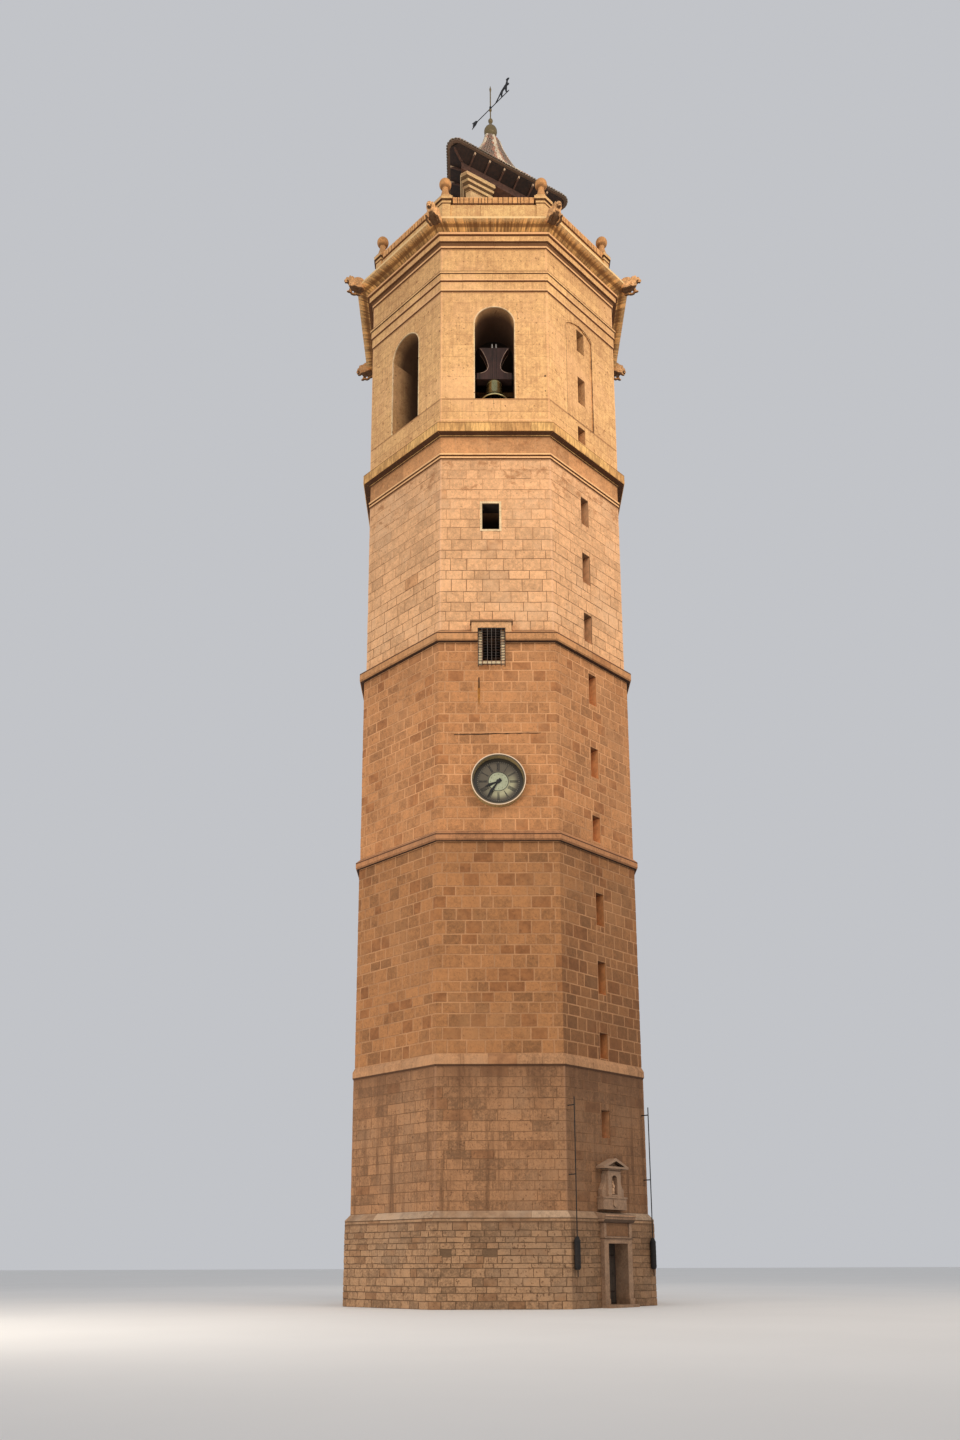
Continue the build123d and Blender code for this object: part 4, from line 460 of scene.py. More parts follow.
class Build:
    """Points and faces gathered for one piece, with a tone for each face."""

    def __init__(self):
        self.points, self.faces, self.tones, self.edges = [], [], [], {}

    def grid(self, rows, tone=0.5, closed=False, rim=False):
        """Adds a surface through rows of points. A rim marks its outer faces as worn edges."""
        start, width = len(self.points), len(rows[0])
        for row in rows:
            self.points.extend(row)
        for r in range(len(rows) - 1):
            for c in range(width if closed else width - 1):
                a = start + r * width + c
                b = start + r * width + (c + 1) % width
                if rim and (r in (0, len(rows) - 2) or c in (0, width - 2)):
                    self.edges[len(self.faces)] = 1.0
                self.faces.append((a, b, b + width, a + width))
                self.tones.append(tone)

    def polygon(self, points, tone=0.5):
        start = len(self.points)
        self.points.extend(points)
        self.faces.append(tuple(range(start, start + len(points))))
        self.tones.append(tone)

    def solid(self, rings, tone=0.5):
        """A solid skinned over rings of points, closed at both ends."""
        self.grid(rings, tone, closed=True)
        self.polygon(rings[0][::-1], tone)
        self.polygon(rings[-1], tone)

    def box(self, face, place, size, tone=0.5, edge=0.0):
        """A box with cut edges that is square to a face. place is its centre as out, side and height."""
        out, side, height = place
        wide, tall, deep = (part / 2 for part in size)

        def ring(depth, inset):
            x, y = wide - inset, tall - inset
            return [on_wall(face, out + depth, side + across, height + up)
                    for across, up in ((-x, -y), (x, -y), (x, y), (-x, y))]

        cuts = ((-deep, edge), (edge - deep, 0), (deep - edge, 0), (deep, edge))
        self.solid([ring(*cut) for cut in (cuts if edge else cuts[::3])], tone)

    def tube(self, path, radius, sides=10, tone=0.5):
        """A round bar along a path of points. radius is one size, or one for each point."""
        rings, first = [], None
        for i, point in enumerate(path):
            along = (path[min(i + 1, len(path) - 1)] - path[max(i - 1, 0)]).normalized()
            first = along.orthogonal() if first is None else first - along * first.dot(along)
            first.normalize()
            second = along.cross(first)
            size = radius[i] if isinstance(radius, list) else radius
            rings.append([point + (first * cos(turn) + second * sin(turn)) * size for turn in around(sides)])
        self.solid(rings, tone)

    def lathe(self, profile, x, y, sides):
        """A turned surface about an upright axis at x and y, from (radius, height) points."""
        self.grid([[Vector((x + radius * cos(turn), y + radius * sin(turn), height)) for turn in around(sides)]
                   for radius, height in profile], closed=True)

    def piece(self, name, material, slot, body=TOWER, replaces=None, smooth=False):
        mesh = bpy.data.meshes.new(name)
        mesh.from_pydata([tuple(point) for point in self.points], [], self.faces)
        tones = mesh.attributes.new("tone", "FLOAT", "FACE")
        tones.data.foreach_set("value", self.tones)
        edges = mesh.attributes.new("edge", "FLOAT", "FACE")
        edges.data.foreach_set("value", [self.edges.get(i, 0.0) for i in range(len(self.faces))])
        if smooth:
            mesh.shade_smooth()
        mesh.materials.append(material)
        thing = bpy.data.objects.new(name, mesh)
        bpy.context.scene.collection.objects.link(thing)
        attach(thing, body)
        if replaces:
            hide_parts(replaces)


def carved(lumps, voxel, smoothing):
    """A mesh of rounded lumps grown into one body. A lump is (centre, radii, tilt, turn)."""
    shape = bmesh.new()
    for centre, radii, tilt, turn in lumps:
        place = (Matrix.Translation(centre) @ Matrix.Rotation(radians(turn), 4, "Z")
                 @ Matrix.Rotation(radians(tilt), 4, "Y") @ Matrix.Diagonal((*radii, 1)))
        bmesh.ops.create_icosphere(shape, subdivisions=3, radius=1.0, matrix=place)
    mesh = bpy.data.meshes.new("lumps")
    shape.to_mesh(mesh)
    shape.free()
    thing = bpy.data.objects.new("lumps", mesh)
    bpy.context.scene.collection.objects.link(thing)
    grow = thing.modifiers.new("grow", "REMESH")
    grow.mode, grow.voxel_size = "VOXEL", voxel
    ease = thing.modifiers.new("ease", "SMOOTH")
    ease.iterations = smoothing
    bpy.context.view_layer.update()
    result = bpy.data.meshes.new_from_object(thing.evaluated_get(bpy.context.evaluated_depsgraph_get()))
    points = [vertex.co.copy() for vertex in result.vertices]
    faces = [tuple(face.vertices) for face in result.polygons]
    bpy.data.objects.remove(thing)
    return points, faces


def arc_through(first, middle, last, steps=12):
    """Points along the arc of a circle that passes through three points of a plane."""
    (ax, ay), (bx, by), (cx, cy) = first, middle, last
    twice = 2 * (ax * (by - cy) + bx * (cy - ay) + cx * (ay - by))
    a, b, c = ax * ax + ay * ay, bx * bx + by * by, cx * cx + cy * cy
    x = (a * (by - cy) + b * (cy - ay) + c * (ay - by)) / twice
    y = (a * (cx - bx) + b * (ax - cx) + c * (bx - ax)) / twice
    start, end = atan2(ay - y, ax - x), atan2(cy - y, cx - x)
    sweep = (end - start + pi) % (2 * pi) - pi
    radius = hypot(ax - x, ay - y)
    return [(x + radius * cos(start + sweep * i / steps), y + radius * sin(start + sweep * i / steps))
            for i in range(steps + 1)]


def uneven(low, high, count, spread, dice):
    """Marks that split the way from low to high into a number of uneven parts."""
    parts = [1 + dice.uniform(-spread, spread) for _ in range(max(1, round(count)))]
    marks, reached = [low], 0.0
    for part in parts:
        reached += part * (high - low) / sum(parts)
        marks.append(low + reached)
    return marks


def lay_block(build, half, spans, low, high, cut, tone, dice):
    """One stone on a face, or round the corner of two faces, proud of the joint round it."""
    gap, edge, wobble = cut.joint / 2, cut.edge, cut.wobble
    rise = cut.rise + dice.uniform(-0.3, 0.3) * cut.rise
    (first, left, right), (last, _, end) = spans[0], spans[-1]
    middle = None if len(spans) == 2 else (left + right) / 2
    columns = [(first, left + gap, -BLOCK_BACK), (first, left + gap + edge, rise), (first, middle, rise),
               (last, end - gap - edge, rise), (last, end - gap, -BLOCK_BACK)]
    rows = [(low + gap, -BLOCK_BACK), (low + gap + edge, rise), ((low + high) / 2, rise),
            (high - gap - edge, rise), (high - gap, -BLOCK_BACK)]
    grid = []
    for height, row_depth in rows:
        line = []
        for face, side, depth in columns:
            depth = min(depth, row_depth)
            out = half + depth
            place = out * tan(HALF_FACE) if side is None else side
            level = height
            if depth > 0:
                out += dice.uniform(-1, 1) * wobble * 0.5
                if side is not None:
                    place += dice.uniform(-1, 1) * wobble
                level += dice.uniform(-1, 1) * wobble
            line.append(on_wall(face, out, place, level))
        grid.append(line)
    build.grid(grid, tone, rim=True)


def cut_out(rectangle, hole):
    """What is left of a block's rectangle (side, side, low, high) beside, under and over a hole."""
    left, right, low, high = rectangle
    hole_left, hole_right, sill, head = hole
    if right <= hole_left or left >= hole_right or high <= sill or low >= head:
        return [rectangle]
    start, end = max(left, hole_left), min(right, hole_right)
    rest = [(left, hole_left, low, high), (hole_right, right, low, high), (start, end, low, sill),
            (start, end, head, high)]
    return [part for part in rest if part[0] < part[1] and part[2] < part[3]]


def lay_stage(build, stage, cut, holes, dice):
    """Courses of stone round a stage, bonded from course to course and round the corners."""
    _, half, foot, top = STAGES[stage]
    side = half * tan(HALF_FACE)
    smallest = cut.joint + 3 * cut.edge
    levels = uneven(foot, top, (top - foot) / cut.course, cut.spread, dice)
    old_joints = {face: [] for face in FACES}
    for number, (low, high) in enumerate(zip(levels, levels[1:])):
        arms = []
        for corner in FACES:
            arm = (0.62, 0.36) if (number + corner) % 2 == 0 else (0.36, 0.62)
            arms.append([part * cut.length * dice.uniform(0.85, 1.15) for part in arm])
        for corner in FACES:
            ahead = (corner + 1) % 8
            spans = [(corner, side - arms[corner][0], side), (ahead, -side, -side + arms[corner][1])]
            lay_block(build, half, spans, low, high, cut, dice.uniform(0.25, 1.0), dice)
        for face in FACES:
            start, end = -side + arms[face - 1][1], side - arms[face][0]
            tries = []
            for _ in range(6):
                marks = uneven(start, end, (end - start) / cut.length, 0.35, dice)
                nearest = min([abs(a - b) for a in marks[1:-1] for b in old_joints[face]] or [1.0])
                tries.append((nearest, marks))
            marks = old_joints[face] = max(tries, key=lambda found: found[0])[1]
            for block in zip(marks, marks[1:]):
                pieces = [(*block, low, high)]
                for hole in holes.get(face, []):
                    pieces = [part for piece in pieces for part in cut_out(piece, hole)]
                for left, right, sill, head in pieces:
                    if right - left > smallest and head - sill > smallest:
                        tone = dice.random() ** 0.8
                        lay_block(build, half, [(face, left, right)], sill, head, cut, tone, dice)


def ring_stones(build, profile, length, dice, gaps):
    """A moulding round the tower in separate stones, from its closed (outward, height) section.

    gaps gives the runs of a face that has a gap, as (start, end), where None stands for the corner.
    """
    reach = max(out for out, _ in profile) * tan(HALF_FACE)
    for face in FACES:
        for start, end in gaps.get(face, [(None, None)]):
            low = -reach if start is None else start
            high = reach if end is None else end
            marks = uneven(low, high, (high - low) / length, 0.25, dice)
            for number, ends in enumerate(zip(marks, marks[1:])):
                shift = dice.uniform(-0.0012, 0.0012)
                corners = start is None and number == 0, end is None and number == len(marks) - 2
                loops = []
                for sign, side, corner in zip((-1, 1), ends, corners):
                    loop = []
                    for out, height in profile:
                        mitre = out * tan(HALF_FACE)
                        place = sign * mitre if corner else max(-mitre, min(mitre, side))
                        loop.append(on_wall(face, out + shift, place - sign * MOULDING_JOINT / 2, height))
                    loops.append(loop)
                build.solid(loops, dice.uniform(0.2, 1.0))


def colour_setting(name, description, default):
    """A setting that holds a colour."""
    return FloatVectorProperty(name=name, description=f"Colour of the {description}", subtype="COLOR",
                               default=default)


def length_setting(name, description, default, least=0.0):
    """A setting that holds a length."""
    return FloatProperty(name=name, description=description, default=default, min=least, unit="LENGTH")


class StoneSettings(bpy.types.PropertyGroup):
    # The stages' and string courses' colours darken towards the foot of the tower: partly the stones' own
    # colour, partly painted shade.
    plinth: colour_setting("Plinth", "plinth's stones", (0.36, 0.205, 0.105))
    weathering: colour_setting("Plinth top", "plinth's sloping top", (0.42, 0.28, 0.175))
    lower: colour_setting("Lower stage", "stones over the plinth", (0.33, 0.165, 0.075))
    middle: colour_setting("Middle stage", "second stage's stones", (0.345, 0.152, 0.054))
    clock: colour_setting("Clock stage", "clock stage's stones", (0.48, 0.215, 0.082))
    upper: colour_setting("Upper stage", "fourth stage's stones", (0.76, 0.42, 0.205))
    bell: colour_setting("Bell stage", "bell stage's stones", (0.9, 0.46, 0.19))
    string_1: colour_setting("First string course", "lowest string course", (0.42, 0.215, 0.10))
    string_2: colour_setting("Second string course", "second string course", (0.40, 0.18, 0.075))
    string_3: colour_setting("Third string course", "third string course", (0.52, 0.25, 0.10))
    moulding: colour_setting("Cornice hollow", "hollow moulding of the cornice", (0.58, 0.27, 0.085))
    mortar: colour_setting("Mortar", "joints", (0.47, 0.235, 0.105))
    doorway: colour_setting("Doorway", "doorway's dressed stone", (0.36, 0.215, 0.125))
    ball: colour_setting("Balls", "fired clay balls", (0.74, 0.36, 0.13))
    length: length_setting("Block length", "Usual length of a block in the middle stages", 0.32, 0.1)
    joint: length_setting("Wide joint", "Width of the joints in the middle stages", 0.02)
    seed: IntProperty(name="Seed", description="Changes how the blocks are cut", default=7)


class RoofSettings(bpy.types.PropertyGroup):
    tile: length_setting("Tile", "Width of a roof tile", 0.075, 0.03)
    course: length_setting("Tile course", "Height of a row of tiles along the slope", 0.1, 0.04)
    cream_glaze: colour_setting("Cream glaze", "ridge and edge tiles", (1.0, 0.84, 0.62))
    red_glaze: colour_setting("Red glaze", "red tiles", (0.62, 0.29, 0.18))
    dark_glaze: colour_setting("Dark glaze", "dark tiles", (0.2, 0.19, 0.155))
    # Near black: partly the old timber's own colour, partly painted shade under the eaves.
    timber: colour_setting("Timber", "eaves timber", (0.024, 0.011, 0.007))


class MetalSettings(bpy.types.PropertyGroup):
    iron: colour_setting("Iron", "ironwork", (0.025, 0.023, 0.022))
    bronze: colour_setting("Bronze", "bell", (0.5, 0.47, 0.24))
    finial: colour_setting("Roof ball", "painted ball on the roof", (0.24, 0.17, 0.075))
    dial: colour_setting("Dial", "clock's dial", (0.105, 0.085, 0.055))


class StudioSettings(bpy.types.PropertyGroup):
    floor: colour_setting("Floor", "studio floor", (0.80, 0.79, 0.77))
    backdrop: colour_setting("Backdrop", "light all round", (0.93, 0.95, 1.0))
    fill: FloatProperty(name="Fill", description="Strength of the light all round", default=0.58, min=0.0)
    key: FloatProperty(name="Key", description="Power of the main light", default=1450.0, min=0.0,
                       unit="POWER")


class TOWER_OT_stonework(bpy.types.Operator):
    """Lay the blocks of the eight-sided walls"""

    bl_idname = "tower.stonework"
    bl_label = "Stonework"

    def execute(self, context):
        stone = context.scene.tower_stone
        cuts = {
            "plinth": Cut(0.13, 0.27, 0.005, 0.008, 0.006, 0.007, 0.35),
            "stage_1": Cut(0.195, 0.4, 0.007, 0.004, 0.004, 0.002, 0.15),
            "stage_2": Cut(0.235, stone.length, stone.joint, 0.004, 0.005, 0.003, 0.18),
            "stage_3": Cut(0.232, stone.length, stone.joint * 1.1, 0.004, 0.005, 0.003, 0.16),
            "stage_4": Cut(0.24, 0.36, 0.007, 0.005, 0.004, 0.005, 0.2),
            "neck": Cut(0.42, 0.55, 0.004, 0.002, 0.003, 0.001, 0.1),
            "sill": Cut(0.33, 0.6, 0.004, 0.002, 0.003, 0.001, 0.1),
            "bell": Cut(0.28, 0.62, 0.004, 0.002, 0.003, 0.001, 0.12),
            "frieze": Cut(0.33, 0.7, 0.004, 0.002, 0.003, 0.001, 0.1),
        }
        # Colour, slot and finish of the blocks
        smooth = {"runs": 0.14, "pits": 0.85, "tones": 0.16, "arris": 0.45, "grain": 24.0, "streaks": 0.6,
                  "worn": (15.0, 45.0, 0.3)}
        finishes = {
            "plinth": (stone.plinth, "plinth_stone", {
                "runs": 0.3, "pits": 0.8, "tones": 0.55, "brown": 0.14, "side_shade": 0.3, "speckle": 0.7,
                "relief": 0.008, "edges": (scaled(stone.plinth, 0.55), 0.4)}),
            "stage_1": (stone.lower, "lower_stone", {
                "runs": 0.8, "pits": 0.7, "tones": 0.45, "brown": 0.16, "streaks": 0.8, "arris": 0.5,
                "side_shade": 0.35, "speckle": 0.6, "edges": (scaled(stone.mortar, 0.9), 0.55), "tooling": 0.8}),
            "stage_2": (stone.middle, "middle_stone", {
                "runs": 0.2, "pits": 0.4, "tones": 0.42, "brown": 0.28, "side_shade": 0.5,
                "edges": (stone.mortar, 0.85)}),
            "stage_3": (stone.clock, "clock_stage_stone", {
                "runs": 0.12, "pits": 0.45, "tones": 0.3, "brown": 0.2,
                "edges": (scaled(stone.mortar, 1.25), 0.8)}),
            "stage_4": (stone.upper, "upper_stone", {
                "runs": 0.12, "pits": 0.5, "tones": 0.22, "brown": 0.02, "arris": 0.5, "speckle": 0.3,
                "edges": (tinted(stone.upper, 0.55, 0.42, 0.32), 0.7), "fade": JOINT_FADE,
                "worn": (16.0, 17.4, 0.7)}),
            # The neck's darker colour is painted shade under the string course above it.
            "neck": (tinted(stone.upper, 0.86, 0.75, 0.62), "upper_stone", {
                "runs": 0.25, "pits": 0.5, "tones": 0.3, "brown": 0.1, "worn": (17.5, 18.3, 0.6)}),
        }
        plain = (stone.bell, "bell_stage_stone", {
            **smooth, "edges": (scaled(stone.bell, 0.6), 0.25), "lines": [(18.575, 0.02, 0.6, True)]})
        # Colour of the joints, and the painted light and shade of their reveals
        joints = {
            "plinth": (scaled(stone.plinth, 0.5), {"lit": 0.45, "recess_shade": (0.02, 0.13)}),
            "stage_1": (scaled(stone.lower, 0.75), {}),
            "stage_2": (stone.mortar, {}),
            "stage_3": (scaled(stone.mortar, 1.35), {}),
            "stage_4": (scaled(stone.upper, 0.42), {"fade": JOINT_FADE, "lit": 0.85}),
            "sill": (scaled(stone.bell, 0.6), {"lit": 0.75}),
        }
        holes = self.holes()
        for stage, (node, half, _, top) in STAGES.items():
            dice = random.Random(f"{stone.seed} {stage}")
            build = Build()
            lay_stage(build, stage, cuts[stage], holes.get(stage, {}), dice)
            tint, slot, finish = finishes.get(stage, plain)
            build.piece(f"{stage}_blocks", stone_paint(f"{stage}_stone", tint, half, top, **finish), slot)
            if stage in joints:
                mortar, look = joints[stage]
                paint_nodes(mortar_paint(f"{stage}_mortar", mortar, tint, half, **look), node)
        # Inside the bell arches the stone turns black with depth: painted shade.
        piers = stone_paint("pier_stone", stone.bell, BELL_HALF, recess_shade=(0.03, 0.65), **smooth)
        vaults = stone_paint("arch_stone", stone.bell, BELL_HALF, recess_shade=(-0.03, 0.34), **smooth)
        paint_nodes(piers, "bell_stage_piers", "frieze")
        paint_nodes(vaults, "bell_arches_axial", "bell_arches_diagonal")
        paint_nodes(stone_paint("infill_stone", stone.bell, 2.82, recess_shade=(0.34, 0.7), **smooth),
                    "blind_arch_infill")
        # The arch rolls are paler than the bell stage: a painted highlight.
        self.trim_arches(stone_paint("arris_stone", tinted(stone.bell, 1.1, 1.3, 1.7), **smooth))
        self.cracks_and_shadow_lines(dice)
        return {"FINISHED"}

    def holes(self):
        """The openings that the blocks leave free on each stage's faces, as (side, side, low, high)."""
        slits = [(side - SLIT_HALF, side + SLIT_HALF, sill, sill + height) for side, sill, height in SLITS]
        window = (WINDOW_SIDE - WINDOW_HALF, WINDOW_SIDE + WINDOW_HALF, WINDOW_SILL, WINDOW_HEAD)
        grille = (WINDOW_SIDE - GRILLE_HALF, WINDOW_SIDE + GRILLE_HALF, GRILLE_SILL, GRILLE_HEAD)
        hood = (WINDOW_SIDE - 0.42, WINDOW_SIDE + 0.42, 13.4, 13.64)
        arch = [(-ARCH_HALF, ARCH_HALF, ARCH_SILL - 0.1, ARCH_SPRING)]
        blind = [(BLIND_SIDE - BLIND_HALF, BLIND_SIDE + BLIND_HALF, ARCH_SILL, BLIND_SPRING)]
        steps = 4
        crown = BLIND_CROWN - BLIND_SPRING
        for i in range(steps):
            low, high = (ARCH_HALF * sin(pi / 2 / steps * k) for k in (i, i + 1))
            half = ARCH_HALF * cos(pi / 2 / steps * i) * 0.97
            arch.append((-half, half, ARCH_SPRING + low, ARCH_SPRING + high))
            half = BLIND_HALF * cos(pi / 2 / steps * i)
            blind.append((BLIND_SIDE - half, BLIND_SIDE + half, BLIND_SPRING + crown * i / steps,
                          BLIND_SPRING + crown * (i + 1) / steps))
        door = (-DOOR_HALF, DOOR_HALF, 0.0, DOOR_TOP)
        return {
            "plinth": {DOORWAY: [door], FRONT: PUTLOGS},
            "stage_1": {DOORWAY: slits},
            "stage_2": {DOORWAY: slits},
            "stage_3": {DOORWAY: slits, FRONT: [grille]},
            "stage_4": {DOORWAY: slits, FRONT: [window, hood]},
            "sill": {DOORWAY: slits},
            "bell": {face: blind if face == DOORWAY else arch for face in FACES},
        }

    def cracks_and_shadow_lines(self, dice):
        """Draws dark lines on the walls where a stone is cracked or a joint is open, painted shadow along the
        blind arch's recessed edges, and the rust that runs from a pin.
        """
        left, right = BLIND_SIDE - BLIND_HALF, BLIND_SIDE + BLIND_HALF
        crown = [(BLIND_SIDE + BLIND_HALF * cos(pi * i / 16), BLIND_SPRING + 0.2 * sin(pi * i / 16))
                 for i in range(8, -1, -1)]
        # Face, how far out, thickness, points
        dark_lines = [
            (FRONT, 2.884, 0.012, [(-0.877, 11.135), (-0.4, 11.15), (0.1, 11.165), (0.875, 11.175)]),
            (FRONT, BELL_HALF, 0.005, [(-0.029, 19.08), (-0.03, 18.96), (-0.017, 18.857)]),
            (FRONT, BELL_HALF, 0.004, [(0.5, 21.6), (0.47, 21.45), (0.52, 21.3), (0.5, 21.12)]),
            # Dark lines along the blind arch's recessed edges and sill: painted shadow.
            (DOORWAY, BELL_HALF, 0.009, crown + [(right, 20.4), (right, ARCH_SILL)]),
            (DOORWAY, BELL_HALF, 0.006, [(right, ARCH_SILL), (left, ARCH_SILL)]),
            (DOORWAY, BELL_HALF, 0.004, [(left, ARCH_SILL), (left, 20.4), (left, BLIND_SPRING)]),
        ]
        build = Build()
        for face, out, thick, points in dark_lines:
            path = []
            for (s0, z0), (s1, z1) in zip(points, points[1:]):
                count = max(2, round(hypot(s1 - s0, z1 - z0) / 0.09))
                for i in range(count):
                    side = s0 + (s1 - s0) * i / count + dice.uniform(-0.2, 0.2) * thick
                    height = z0 + (z1 - z0) * i / count + dice.uniform(-0.5, 0.5) * thick
                    path.append(on_wall(face, out, side, height))
            path.append(on_wall(face, out, *points[-1]))
            build.tube(path, [thick * dice.uniform(0.55, 1.0) for _ in path], 6)
        for height, size in ((19.693, 0.022), (19.306, 0.014)):
            build.tube([on_wall(FRONT, 2.84, 1.105, height), on_wall(FRONT, 2.8535, 1.105, height)], size, 9)
        build.piece("cracks_and_shadow_lines", mortar_paint("crack_and_shadow_dark", (0.035, 0.016, 0.008)), "bell_stage_stone")
        rust, pin = Build(), Build()
        stains = [(0.01, 12.36), (0.018, 12.25), (0.026, 12.1), (0.02, 11.95), (0.006, 11.794)]
        rust.grid([[on_wall(FRONT, 2.8865, -0.37 + side * half, height) for side in (-1, -0.3, 0.3, 1)]
                   for half, height in stains])
        pin.tube([on_wall(FRONT, 2.888, -0.37, 12.4), on_wall(FRONT, 2.888, -0.368, 12.17)], 0.011, 8)
        pin.piece("wall_pin", mortar_paint("pin_rust", (0.05, 0.02, 0.008)), "clock_stage_stone")
        stain = metal_paint("rust_stain", (0.28, 0.1, 0.015), (0.6, 0.27, 0.03), 0.0, 0.8, 0.8)
        rust.piece("rust_run", stain, "clock_stage_stone")

    def trim_arches(self, material):
        """Rounds the edge of each bell arch with a narrow roll painted pale, a painted highlight along the
        arch's edge.
        """
        # Section of the roll: how far from the arch's edge, and how far out of the wall
        section = ((-0.002, -0.02), (-0.002, 0.002), (0.004, 0.006), (0.02, 0.006), (0.026, 0.0))
        curve = [(-ARCH_HALF * cos(pi * i / 24), ARCH_SPRING + ARCH_HALF * sin(pi * i / 24))
                 for i in range(1, 24)]
        outline = [(-ARCH_HALF, ARCH_SILL), (-ARCH_HALF, ARCH_SPRING), *curve, (ARCH_HALF, ARCH_SPRING),
                   (ARCH_HALF, ARCH_SILL)]
        build = Build()
        for face in FACES:
            if face == DOORWAY:
                continue
            rows = []
            for side, height in outline:
                lean = atan2(max(height - ARCH_SPRING, 0.0), side)
                across, up = cos(lean), sin(lean)
                rows.append([on_wall(face, BELL_HALF + out, side + across * reach, height + up * reach)
                             for reach, out in section])
            build.grid(rows)
        build.piece("arch_arrises", material, "bell_stage_stone", smooth=True)


def string_course(below, above, course, out):
    """Section of a string course between two stages, from their half widths."""
    base, top = course
    lip = base + (top - base) * 0.62
    return [(ROOM_HALF, base), (below + out - 0.018, base), (below + out, base + 0.03), (below + out, lip),
            (above, top), (ROOM_HALF, top)]


def cavetto():
    """Section of the cornice's hollow moulding, with the fillet on top of it."""
    foot, top = CAVETTO
    start, rise = 2.955, 0.105
    out = 3.23 - start
    turns = [pi / 2 * i / 10 for i in range(11)]
    curve = [(start + out * (1 - cos(turn)), foot + rise * sin(turn)) for turn in turns]
    return [(ROOM_HALF, foot), *curve, (3.25, foot + rise), (3.25, top), (ROOM_HALF, top)]


